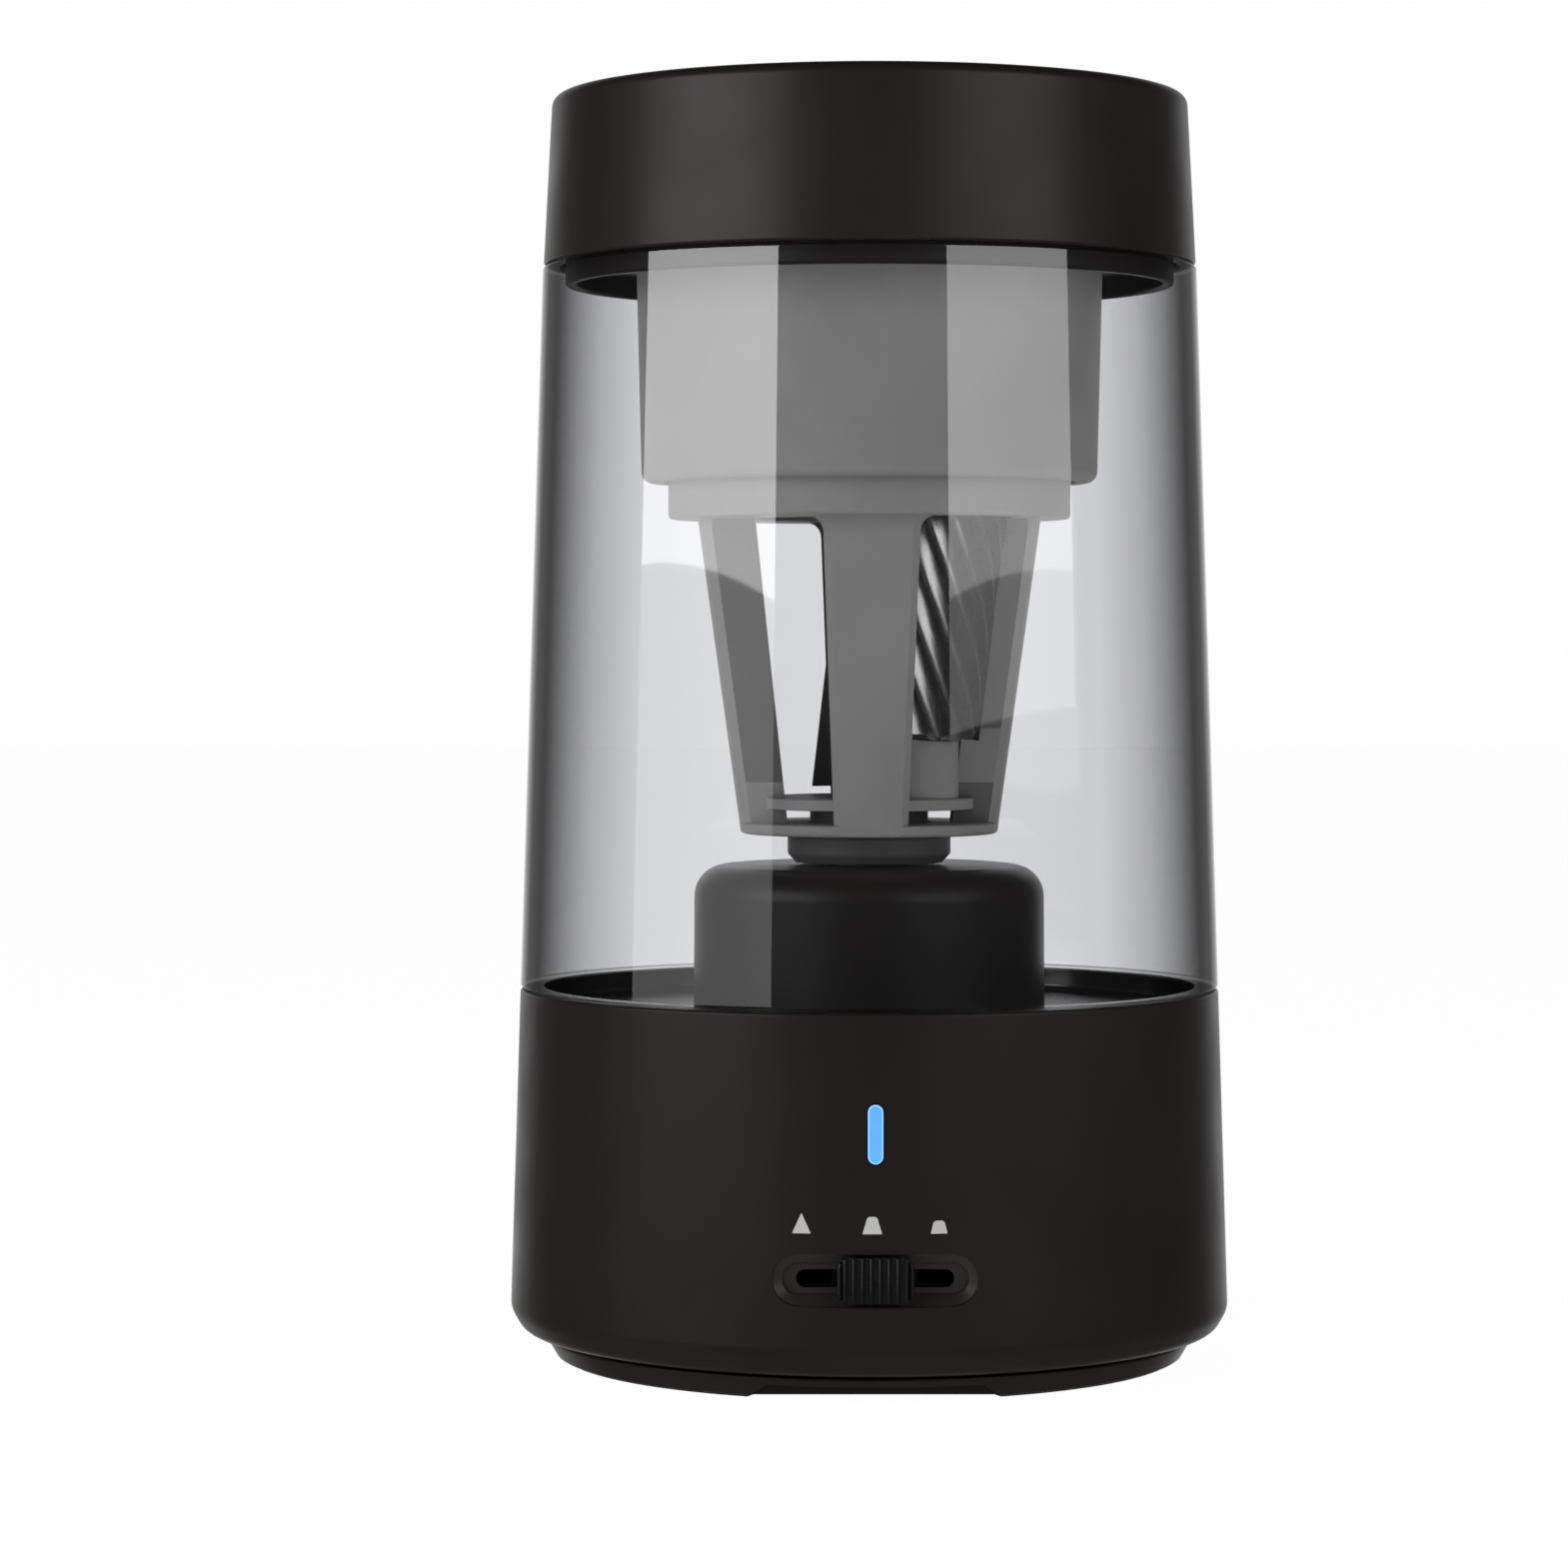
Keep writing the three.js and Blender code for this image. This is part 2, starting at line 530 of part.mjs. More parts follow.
// ---------------------------------------------------------------- base: power and light
const BATTERY = { left: -30.5, right: -21, front: -18, back: 6, bottom: 5.1, top: 30.5 };
const SWITCH = { left: -16, right: -3.2, front: 3, back: 8.8, bottom: 24.2, top: 30.4, plungerX: -8 };
const LAMP = { halfWidth: 1.4, halfHeight: 1.6, height: 1 }; // the diode on the board's front
const CHIP = { left: 5, right: 12, bottom: 23, top: 30, height: 1.7 }; // on the board's back
const PIPE = { reach: 6.9, flangeHeight: 1, flangeReach: 3.4 };
const TONGUE = { halfWidth: 3.3, halfHeight: 0.35, start: 0.2, end: 5.9 };
const CHARGING_BOARD = { halfWidth: 9, front: 28.8, back: 36, bottom: PORT_Z - 3.3, top: PORT_Z - 1.9 };

piece("battery", "cell", block(
  BATTERY.left, BATTERY.right, BATTERY.front, BATTERY.back, BATTERY.bottom, BATTERY.top,
));

// The lamp and the chip start inside the board, so that they are one body with it.
function mainBoard() {
  const { y, halfThickness, halfWidth, bottom, top } = BOARD;
  const sunk = 0.5;
  return joined(
    block(-halfWidth, halfWidth, y - halfThickness, y + halfThickness, bottom, top),
    block(-LAMP.halfWidth, LAMP.halfWidth, y - halfThickness - LAMP.height, y - sunk,
      LIGHT_Z - LAMP.halfHeight, LIGHT_Z + LAMP.halfHeight),
    block(CHIP.left, CHIP.right, y + sunk, y + sunk + CHIP.height, CHIP.bottom, CHIP.top),
  );
}
piece("main_board", "board", mainBoard());

// Turns a slot that lies along X so that it stands upright and faces the front.
function upwards(slot) {
  return slot.rotateZ(Math.PI / 2).rotateX(Math.PI / 2);
}

function lightPipe() {
  const bar = upwards(raised(stadium(LIGHT.length, LIGHT.width), 0, PIPE.reach));
  const outline = stadium(LIGHT.flangeLength, LIGHT.flangeWidth);
  const flange = upwards(raised(outline, 0, PIPE.flangeHeight));
  return joined(
    bar.translate(0, LIGHT.back, LIGHT_Z),
    flange.translate(0, LIGHT.back - PIPE.flangeReach, LIGHT_Z),
  );
}
piece("light_pipe", "light", lightPipe());

// The port's metal shell is closed at its front end, and its tongue stands in the mouth.
function chargingPort() {
  const { length, height, depth, front, wall } = PORT;
  const shell = raised(stadium(length, height), 0, depth).rotateX(-Math.PI / 2);
  const mouth = raised(stadium(length - 2 * wall, height - 2 * wall), 0, depth).rotateX(-Math.PI / 2);
  const tongue = block(-TONGUE.halfWidth, TONGUE.halfWidth, front + TONGUE.start, front + TONGUE.end,
    PORT_Z - TONGUE.halfHeight, PORT_Z + TONGUE.halfHeight);
  const hollow = cut(solid(shell.translate(0, front, PORT_Z)), mouth.translate(0, front + 1, PORT_Z));
  return hollow.add(solid(tongue));
}
piece("charging_port", "steel", chargingPort());
piece("charging_board", "board", block(
  -CHARGING_BOARD.halfWidth, CHARGING_BOARD.halfWidth, CHARGING_BOARD.front, CHARGING_BOARD.back,
  CHARGING_BOARD.bottom, CHARGING_BOARD.top,
));
piece("start_switch", "darkPlastic", joined(
  block(SWITCH.left, SWITCH.right, SWITCH.front, SWITCH.back, SWITCH.bottom, SWITCH.top),
  block(SWITCH.plungerX - 1, SWITCH.plungerX + 1, SWITCH.front + 2, SWITCH.front + 4,
    SWITCH.bottom - 1.2, SWITCH.bottom + 0.3),
));

// ---------------------------------------------------------------- base: point slider
const CARRIAGE = { halfWidth: 8, bottom: 10, top: 12.5, front: -34.8, back: 3.5, wedgeTop: 15 };
// The carriage's horn, with a slot that takes the knob's stem.
const HORN = { halfWidth: 4.5, thickness: 2.4, height: 1.8, slotDepth: 1.6, slotHalfHeight: 0.8 };
const DETENT = { radius: 1.2, y: 4.1, reach: 4 };
const GUIDE = { halfWidth: 17.5, front: -21, back: 7, bottom: 8, sunk: 9, railTop: 11 };
const RAIL = { front: -16.5, back: -15.5, play: 0.3 };
const GUIDE_FOOT = { radius: 2, x: 14, y: -17, top: 8.5 };
const RIB_PITCH = 0.92;
const RIB_COUNT = 8;
const KNOB = { halfWidth: 4, halfHeight: 2.42, corner: 1.2, back: POCKET.floor - GAP, front: -BASE_RADIUS };

// The knob's front has upright ribs, and it narrows towards the back to follow the pocket's sides.
function slideKnob() {
  const { halfWidth, halfHeight, corner, back, front } = KNOB;
  const ribs = [];
  for (let rib = 0; rib < RIB_COUNT; rib += 1) {
    const middle = (rib - (RIB_COUNT - 1) / 2) * RIB_PITCH;
    ribs.push([middle - 0.3, front + 0.35], [middle - 0.18, front]);
    ribs.push([middle + 0.18, front], [middle + 0.3, front + 0.35]);
  }
  const above = polygon([
    [1 - halfWidth, back],
    [-halfWidth, front + 1],
    [-halfWidth, front + 0.6],
    ...ribs,
    [halfWidth, front + 0.6],
    [halfWidth, front + 1],
    [halfWidth - 1, back],
  ]);
  const side = polygon([
    [back, 1.2],
    [front + 1, 2],
    [front + 0.4, halfHeight],
    [front, halfHeight - 0.3],
    [front, 0.3 - halfHeight],
    [front + 0.4, -halfHeight],
    [front + 1, -2],
    [back, -1.2],
  ]);
  const face = new THREE.Shape();
  const across = halfWidth - corner;
  const up = halfHeight - corner;
  face.absarc(across, -up, corner, -Math.PI / 2, 0);
  face.absarc(across, up, corner, 0, Math.PI / 2);
  face.absarc(-across, up, corner, Math.PI / 2, Math.PI);
  face.absarc(-across, -up, corner, Math.PI, (3 * Math.PI) / 2);
  const crown = solid(raised(above, -5, 5))
    .intersect(solid(raised(side, -5, 5).rotateX(Math.PI / 2).rotateZ(Math.PI / 2)))
    .intersect(solid(upright(face, back + 1, front - 1)));
  const stem = block(-STEM.halfWidth, STEM.halfWidth, back - 0.5, -33.4, -STEM.halfHeight, STEM.halfHeight);
  return crown.add(solid(stem));
}
piece("slide_knob", "blackPlastic", slideKnob()).position.z = SLIDER_Z;

// The carriage runs on the guide's rib. Its wedge lifts the stop pin as the knob goes to the right.
function slideCarriage() {
  const { halfWidth, bottom, top, front, back, wedgeTop } = CARRIAGE;
  const rise = WEDGE_SLOPE * halfWidth;
  const slotHalf = STEM.halfWidth + 0.1;
  const wedge = polygon([
    [-halfWidth, top - 0.1],
    [halfWidth, top - 0.1],
    [halfWidth, wedgeTop - rise],
    [-halfWidth, wedgeTop + rise],
  ]);
  const notches = [-1, 0, 1].map((step) => (
    cylinder(DETENT.radius, wedgeTop - DETENT.reach, wedgeTop + DETENT.reach, SMALL)
      .translate(-step * SLIDER_TRAVEL, DETENT.y, 0)
  ));
  return cut(
    joined(
      block(-halfWidth, halfWidth, front, back, bottom, top),
      block(-HORN.halfWidth, HORN.halfWidth, front, front + HORN.thickness, bottom, SLIDER_Z + HORN.height),
      upright(wedge, back, -back),
    ),
    block(-slotHalf, slotHalf, front - 1, front + HORN.slotDepth,
      SLIDER_Z - HORN.slotHalfHeight, SLIDER_Z + HORN.slotHalfHeight),
    block(-GUIDE.halfWidth, GUIDE.halfWidth, RAIL.front - RAIL.play, RAIL.back + RAIL.play,
      GUIDE.sunk, GUIDE.railTop + RAIL.play),
    ...notches,
  );
}
piece("slide_carriage", "darkPlastic", slideCarriage());

const SPRING_POST = { x: 16, y: 5.2, radius: 1.2, top: 15 };
piece("slide_guide", "darkPlastic", joined(
  block(-GUIDE.halfWidth, GUIDE.halfWidth, GUIDE.front, GUIDE.back, GUIDE.bottom, CARRIAGE.bottom - GAP),
  block(-GUIDE.halfWidth, GUIDE.halfWidth, RAIL.front, RAIL.back, GUIDE.sunk, GUIDE.railTop),
  ...[-1, 1].flatMap((side) => [
    cylinder(GUIDE_FOOT.radius, COVER_TOP + GAP, GUIDE_FOOT.top, SMALL)
      .translate(side * GUIDE_FOOT.x, GUIDE_FOOT.y, 0),
    cylinder(SPRING_POST.radius, GUIDE.sunk, SPRING_POST.top, SMALL)
      .translate(side * SPRING_POST.x, SPRING_POST.y, 0),
  ]),
));

// A leaf spring between the guide's posts, with a bump that drops into the carriage's notches.
const LEAF = { halfLength: 14.6, front: 5.1, bump: 1.2, thickness: 0.3, bottom: 12.2, top: 14.6 };
const leafFront = [[-1.6, 0], [-0.4, -LEAF.bump], [0.4, -LEAF.bump], [1.6, 0]];
const leafBack = [[1.5, 0], [0.3, -LEAF.bump], [-0.3, -LEAF.bump], [-1.5, 0]];
const leaf = polygon([
  [-LEAF.halfLength, LEAF.front],
  ...leafFront.map(([x, y]) => [x, LEAF.front + y]),
  [LEAF.halfLength, LEAF.front],
  [LEAF.halfLength, LEAF.front + LEAF.thickness],
  ...leafBack.map(([x, y]) => [x, LEAF.front + LEAF.thickness + y]),
  [-LEAF.halfLength, LEAF.front + LEAF.thickness],
]);
piece("detent_spring", "steel", raised(leaf, LEAF.bottom, LEAF.top));

// ---------------------------------------------------------------- stop pin and its spring
const PIN = {
  radius: 0.8,
  foot: CARRIAGE.wedgeTop + GAP + 0.1,
  collar: 18.4,
  collarRadius: 2.4,
  top: POINT_TIP - 1,
};

piece("stop_pin", "steel", turned([
  [0, PIN.foot],
  [PIN.radius, PIN.foot + 0.3],
  [PIN.radius, PIN.collar],
  [PIN.collarRadius, PIN.collar],
  [PIN.collarRadius, PIN.collar + 1.2],
  [PIN.radius, PIN.collar + 1.2],
  [PIN.radius, PIN.top],
  [0, PIN.top],
], SMALL));

// A compression spring as a round wire wound on a helix.
class Helix extends THREE.Curve {
  constructor(radius, bottom, height, turns) {
    super();
    Object.assign(this, { radius, bottom, height, turns });
  }
  getPoint(t, target = new THREE.Vector3()) {
    const angle = 2 * Math.PI * this.turns * t;
    const z = this.bottom + this.height * t;
    return target.set(this.radius * Math.cos(angle), this.radius * Math.sin(angle), z);
  }
}
const COIL = { radius: 1.75, above: 1.75, height: 9, turns: 5, steps: 40, wireRadius: 0.2 };
const coil = new Helix(COIL.radius, PIN.collar + COIL.above, COIL.height, COIL.turns);
const wire = new THREE.Shape(
  [0, 1, 2, 3, 4].map((corner) => new THREE.Vector2(...polar(COIL.wireRadius, 72 * corner))),
);
piece("pin_spring", "steel", new THREE.ExtrudeGeometry(wire, { extrudePath: coil, steps: COIL.steps }));

// ---------------------------------------------------------------- bin
const SPIGOT = { inner: 34.6, outer: SHELL.rimInner - GAP, bottom: DECK_TOP + 0.4 }; // stands inside the base

piece("bin_shell", "clearPlastic", turned([
  [SPIGOT.inner, SPIGOT.bottom],
  [SPIGOT.outer, SPIGOT.bottom],
  [SPIGOT.outer, BASE_TOP + GAP],
  [SEAM_RADIUS, BASE_TOP + GAP],
  [BIN_TOP_RADIUS, BIN_TOP],
  [BIN_TOP_RADIUS - WALL, BIN_TOP],
  [SEAM_RADIUS - WALL - 0.2, BASE_TOP + 2.6],
  [SPIGOT.inner, BASE_TOP + GAP],
]));

// ---------------------------------------------------------------- cap
const INLET = { outer: 11.7, seat: 12, bore: 4.6 };
const CAP_SCREW_CIRCLE = 19.6;
const CAP_SCREW_ANGLES = [90, 210, 330];
const CAP_BOTTOM = BIN_TOP + GAP;
const CAP_PLATE_TOP = CAP_BOTTOM + WALL;

piece("cap_shell", "blackPlastic", turned([
  [34.1, CAP_BOTTOM],
  [CAP_BOTTOM_RADIUS, CAP_BOTTOM],
  [CAP_TOP_RADIUS, HEIGHT - 1.3],
  [CAP_TOP_RADIUS - 0.5, HEIGHT - 0.4],
  [CAP_TOP_RADIUS - 1.5, HEIGHT],
  [30, HEIGHT],
  [INLET.seat, HEIGHT - 2.5],
  [INLET.seat, HEIGHT - 4.7],
  [29, HEIGHT - 2.4],
  [33.2, HEIGHT - 3],
]));

const UNDERPLATE = {
  hubInner: 8.6,
  hubOuter: 10.8,
  hubBottom: 112,
  radius: 33.8,
  lipInner: 32.6,
  lipBottom: 119,
};

// The underplate closes the cap, centres it in the bin and holds the bearing of the cutter unit.
function capUnderplate() {
  const { hubInner, hubOuter, hubBottom, radius, lipInner, lipBottom } = UNDERPLATE;
  const plate = turned([
    [hubInner, hubBottom],
    [hubOuter, hubBottom],
    [hubOuter, CAP_BOTTOM],
    [lipInner, CAP_BOTTOM],
    [lipInner, lipBottom],
    [radius, lipBottom],
    [radius, CAP_PLATE_TOP],
    [hubInner, CAP_PLATE_TOP],
  ]);
  const screwHoles = CAP_SCREW_ANGLES.map((angle) => {
    const [x, y] = polar(CAP_SCREW_CIRCLE, angle);
    return cylinder(PLAIN_HOLE, 0, HEIGHT, SMALL).translate(x, y, 0);
  });
  return cut(solid(plate), ...screwHoles);
}
piece("cap_underplate", "blackPlastic", capUnderplate());

piece("pencil_inlet", "blackPlastic", turned([
  [INLET.bore, CAP_PLATE_TOP + GAP],
  [6.4, CAP_PLATE_TOP + GAP],
  [6.4, HEIGHT - 7],
  [INLET.outer, HEIGHT - 4.6],
  [INLET.outer, HEIGHT - 1.6],
  [10, HEIGHT - 1.3],
  [8, HEIGHT - 2.4],
  [8, HEIGHT - 4],
  [INLET.bore, HEIGHT - 6],
], ROUND));
piece("inlet_grommet", "rubber", turned([
  [PENCIL_BORE, HEIGHT - 4.2],
  [5, HEIGHT - 5.2],
  [7.7, HEIGHT - 3.7],
  [7.7, HEIGHT - 2.6],
  [6.6, HEIGHT - 2.6],
  [PENCIL_BORE, HEIGHT - 3.6],
], ROUND));

// ---------------------------------------------------------------- cap: cutter housing with its ring gear
const HOUSING = { inner: 23.5, lipInner: 22.9, topRadius: 25.9, bossBottom: 113 };
const RING_GEAR = { bottom: 100.4, top: 106.4, outer: HOUSING.inner - GAP };

function cutterHousing() {
  const wall = turned([
    [HOUSING.lipInner, HOUSING_BOTTOM],
    [HOUSING_RADIUS - 1.5, HOUSING_BOTTOM],
    [HOUSING_RADIUS - 0.4, HOUSING_BOTTOM + 0.5],
    [HOUSING_RADIUS, HOUSING_BOTTOM + 1.5],
    [HOUSING.topRadius, BIN_TOP],
    [HOUSING.inner, BIN_TOP],
    [HOUSING.inner, RING_GEAR.bottom - GAP],
    [HOUSING.lipInner, RING_GEAR.bottom - GAP - 0.6],
  ]);
  const bosses = CAP_SCREW_ANGLES.map((angle) => (
    block(18, 24, -2.4, 2.4, HOUSING.bossBottom, BIN_TOP).rotateZ(THREE.MathUtils.degToRad(angle))
  ));
  const screwHoles = CAP_SCREW_ANGLES.map((angle) => {
    const [x, y] = polar(CAP_SCREW_CIRCLE, angle);
    return cylinder(THREAD_HOLE, 112, HEIGHT, SMALL).translate(x, y, 0);
  });
  return cut(joined(wall, ...bosses), ...screwHoles);
}
piece("cutter_housing", "greyPlastic", cutterHousing());
CAP_SCREW_ANGLES.forEach((angle, i) => {
  const [x, y] = polar(CAP_SCREW_CIRCLE, angle);
  placedScrew(`housing_screw_${i + 1}`, screw(9), x, y, CAP_PLATE_TOP + GAP + SCREW.headHeight, true);
});

const RING_MIDDLE = (RING_GEAR.bottom + RING_GEAR.top) / 2 - APEX;
const RING_PITCH = RING_MIDDLE * RING_SLOPE;
const TOOTH = { addendum: 0.8, dedendum: 1.05, thickness: 1.35 };

// The space inside the ring gear has a bump for every gap between two teeth.
function ringGear() {
  const circularPitch = (2 * Math.PI * RING_PITCH) / RING_TEETH;
  const thickness = circularPitch - TOOTH.thickness;
  const space = { addendum: TOOTH.dedendum, dedendum: TOOTH.addendum, thickness };
  const outline = gearOutline(RING_TEETH, RING_PITCH, space, CUTTER_AZIMUTH);
  const hole = conical(raised(outline, RING_MIDDLE - 5, RING_MIDDLE + 5), RING_MIDDLE);
  const blank = cylinder(RING_GEAR.outer, RING_GEAR.bottom, RING_GEAR.top, RING);
  return cut(solid(blank), hole.translate(0, 0, APEX));
}
piece("ring_gear", "darkPlastic", ringGear());

const NECK = { bore: PENCIL_BORE, radius: 5.8, top: 120.6 };
// Takes the retaining ring.
const GROOVE = { inner: 5.3, outer: NECK.radius + 1.2, bottom: 118.7, top: 119.7 };
const HEAD_BUSH = { radius: 8.3, bottom: 112.4, top: 118.4 };
piece("head_bush", "bronze", tube(NECK.radius + 0.2, HEAD_BUSH.radius, HEAD_BUSH.bottom, HEAD_BUSH.top));

// ---------------------------------------------------------------- carrier: cage
const ARM = {
  bottomWidth: 8,
  topWidth: 10.6,
  bottomOuter: 14.3,
  topOuter: 19.1,
  bottomInner: 9.3,
  topInner: 13,
};
const FOOT_WEB = { bottom: 63.2, top: 77, bottomWidth: 12.6, topWidth: 9.4 }; // widens the back arm low down
const BOSS = { radius: 5.2, top: 70.3, seat: along(69.5), middle: 67 };
const HEAD_SCREW_CIRCLE = 15.2;
const HEAD_SCREW_ANGLES = [90, 180];
const AXLE = { radius: 1.5, bore: 1.62, bottom: along(64.6), top: along(111.2) };
const CUTTER = { bottom: along(69.8), top: along(95.5), shank: 4 };
const FLOOR = { bottom: 61, top: 62.3, radius: 12.2 };
const LOWER_RING = { inner: 6.9, top: 59.5 };

function carrierCage() {
  const shell = solid(turned([
    [ARM.bottomInner, CAGE_BOTTOM],
    [ARM.bottomOuter, CAGE_BOTTOM],
    [ARM.topOuter, COLLAR_BOTTOM + 0.1],
    [ARM.topInner, COLLAR_BOTTOM + 0.1],
  ]));
  const taper = polygon([
    [-ARM.bottomWidth / 2, CAGE_BOTTOM - 1],
    [ARM.bottomWidth / 2, CAGE_BOTTOM - 1],
    [ARM.topWidth / 2, COLLAR_BOTTOM + 1],
    [-ARM.topWidth / 2, COLLAR_BOTTOM + 1],
  ]);
  const footWeb = polygon([
    [-FOOT_WEB.bottomWidth / 2, FOOT_WEB.bottom],
    [FOOT_WEB.bottomWidth / 2, FOOT_WEB.bottom],
    [FOOT_WEB.topWidth / 2, FOOT_WEB.top],
    [-FOOT_WEB.topWidth / 2, FOOT_WEB.top],
  ]);
  const outside = COLLAR_RADIUS + 2.6;
  const frontAndBack = solid(upright(taper, outside, -outside)).add(solid(upright(footWeb, outside, 0)));
  const leftAndRight = solid(upright(taper, outside, -outside).rotateZ(Math.PI / 2));
  const arms = shell.intersect(frontAndBack.add(leftAndRight));
  const lowerRing = solid(tube(LOWER_RING.inner, ARM.bottomOuter, CAGE_BOTTOM, LOWER_RING.top, RING));
  const floor = solid(cylinder(FLOOR.radius, FLOOR.bottom, FLOOR.top, RING));
  const collar = solid(tube(ARM.topInner, COLLAR_RADIUS, COLLAR_BOTTOM, COLLAR_TOP, RING));
  const bossReach = (BOSS.middle - APEX) * Math.tan(CUTTER_TILT);
  const boss = cylinder(BOSS.radius, FLOOR.bottom, BOSS.top).translate(bossReach, 0, 0);
  const whole = arms.add(lowerRing).add(floor).add(collar).add(solid(boss.rotateZ(CUTTER_AZIMUTH)));
  const screwHoles = HEAD_SCREW_ANGLES.map((angle) => {
    const [x, y] = polar(HEAD_SCREW_CIRCLE, angle);
    return cylinder(THREAD_HOLE, COLLAR_BOTTOM + 1, HEIGHT, SMALL).translate(x, y, 0);
  });
  return cut(
    whole,
    onCutterAxis(cylinder(CUTTER_RADIUS + 0.4, BOSS.seat, CUTTER.top + 0.6)),
    onCutterAxis(cylinder(CUTTER.shank + 0.5, BOSS.seat, CUTTER.top + 12)),
    onCutterAxis(cylinder(AXLE.radius + 0.1, AXLE.bottom - 0.2, BOSS.seat + 1)),
    cylinder(PIN.radius + 0.5, 0, 75, SMALL),
    ...screwHoles,
  );
}
piece("carrier_cage", "greyPlastic", carrierCage());

// The hub that drops over the spindle's six-sided dog.
const SOCKET = { radius: 9.1, spigotRadius: 6.6 };
piece("drive_socket", "darkPlastic", cut(
  solid(turned([
    [0, TOWER_TOP + GAP],
    [SOCKET.radius - 0.7, TOWER_TOP + GAP],
    [SOCKET.radius, TOWER_TOP + 1.1],
    [SOCKET.radius, CAGE_BOTTOM - GAP],
    [SOCKET.spigotRadius, CAGE_BOTTOM - GAP],
    [SOCKET.spigotRadius, FLOOR.bottom - GAP],
    [0, FLOOR.bottom - GAP],
  ])),
  cylinder(DOG.radius + 0.4, 0, DOG.top + 0.3, 6),
  cylinder(PIN.radius + 0.5, 0, HEIGHT, SMALL),
));

// ---------------------------------------------------------------- carrier: head
const HEAD = { bottom: 97.9, top: 99.8, radius: 21.4, bridgeBottom: 109.1, bridgeTop: 111.6 };
const SHANK_HOLE_TOP = along(104);

function carrierHead() {
  const bridge = new THREE.Shape();
  const reach = Math.tan(CUTTER_TILT) * (HEAD.bridgeTop - APEX);
  bridge.absarc(0, 0, 8.5, Math.PI / 3, (5 * Math.PI) / 3);
  bridge.absarc(reach, 0, 4, -Math.PI / 3, Math.PI / 3);
  const screwHoles = HEAD_SCREW_ANGLES.map((angle) => {
    const [x, y] = polar(HEAD_SCREW_CIRCLE, angle);
    return cylinder(PLAIN_HOLE, 0, 105, SMALL).translate(x, y, 0);
  });
  return cut(
    joined(
      cylinder(HEAD.radius, HEAD.bottom, HEAD.top, RING),
      cylinder(NECK.radius, HEAD.bottom, NECK.top),
      raised(bridge, HEAD.bridgeBottom, HEAD.bridgeTop).rotateZ(CUTTER_AZIMUTH),
    ),
    cylinder(NECK.bore, 0, HEIGHT),
    tube(GROOVE.inner, GROOVE.outer, GROOVE.bottom, GROOVE.top),
    onCutterAxis(cylinder(CUTTER.shank + 0.5, BOSS.seat, SHANK_HOLE_TOP)),
    onCutterAxis(cylinder(AXLE.radius + 0.1, SHANK_HOLE_TOP, AXLE.top + 3)),
    ...screwHoles,
  );
}
piece("carrier_head", "darkPlastic", carrierHead());
HEAD_SCREW_ANGLES.forEach((angle, i) => {
  const [x, y] = polar(HEAD_SCREW_CIRCLE, angle);
  placedScrew(`carrier_screw_${i + 1}`, screw(5, 2), x, y, HEAD.top + GAP + SCREW.headHeight, true);
});
const RETAINING_RING = { radius: 7.6, bottom: 118.8, top: 119.6 };
piece("retaining_ring", "steel",
  tube(GROOVE.inner + 0.1, RETAINING_RING.radius, RETAINING_RING.bottom, RETAINING_RING.top));
piece("cutter_axle", "steel", cylinder(AXLE.radius, AXLE.bottom, AXLE.top), cutterAxis);

// ---------------------------------------------------------------- cutter
const FLUTES = 14;
const ROOT_RADIUS = CUTTER_RADIUS - 0.9;
const TOOTH_SHARE = 0.8; // of the pitch, from a tip to the root behind it
const TWIST = -Math.tan(THREE.MathUtils.degToRad(30)) / CUTTER_RADIUS; // turn for each millimetre
const PINION = { bottom: along(101.8), top: along(107.2) };

function helicalCutter() {
  const outline = [];
  for (let flute = 0; flute < FLUTES; flute += 1) {
    const start = (2 * Math.PI * flute) / FLUTES;
    const root = start + (2 * Math.PI * TOOTH_SHARE) / FLUTES;
    outline.push([CUTTER_RADIUS * Math.cos(start), CUTTER_RADIUS * Math.sin(start)]);
    outline.push([ROOT_RADIUS * Math.cos(root), ROOT_RADIUS * Math.sin(root)]);
  }
  const body = reshaped(raised(polygon(outline), CUTTER.bottom, CUTTER.top, 12), (point) => {
    point.applyAxisAngle(new THREE.Vector3(0, 0, 1), TWIST * (point.z - CUTTER.bottom));
  });
  const shank = cylinder(CUTTER.shank, CUTTER.top - 1, PINION.bottom - 0.1);
  return cut(joined(body, shank), cylinder(AXLE.bore, 0, HEIGHT));
}
piece("helical_cutter", "toolSteel", helicalCutter(), cutterAxis);

function cutterPinion() {
  const middle = (PINION.bottom + PINION.top) / 2;
  const outline = gearOutline(PINION_TEETH, middle * PINION_SLOPE, TOOTH);
  const gear = conical(raised(outline, PINION.bottom, PINION.top), middle);
  return cut(solid(gear), cylinder(AXLE.bore, 0, HEIGHT));
}
piece("cutter_pinion", "brass", cutterPinion(), cutterAxis);

export default sharpener;
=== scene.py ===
import math

import bmesh
import bpy
from mathutils import Matrix, Vector


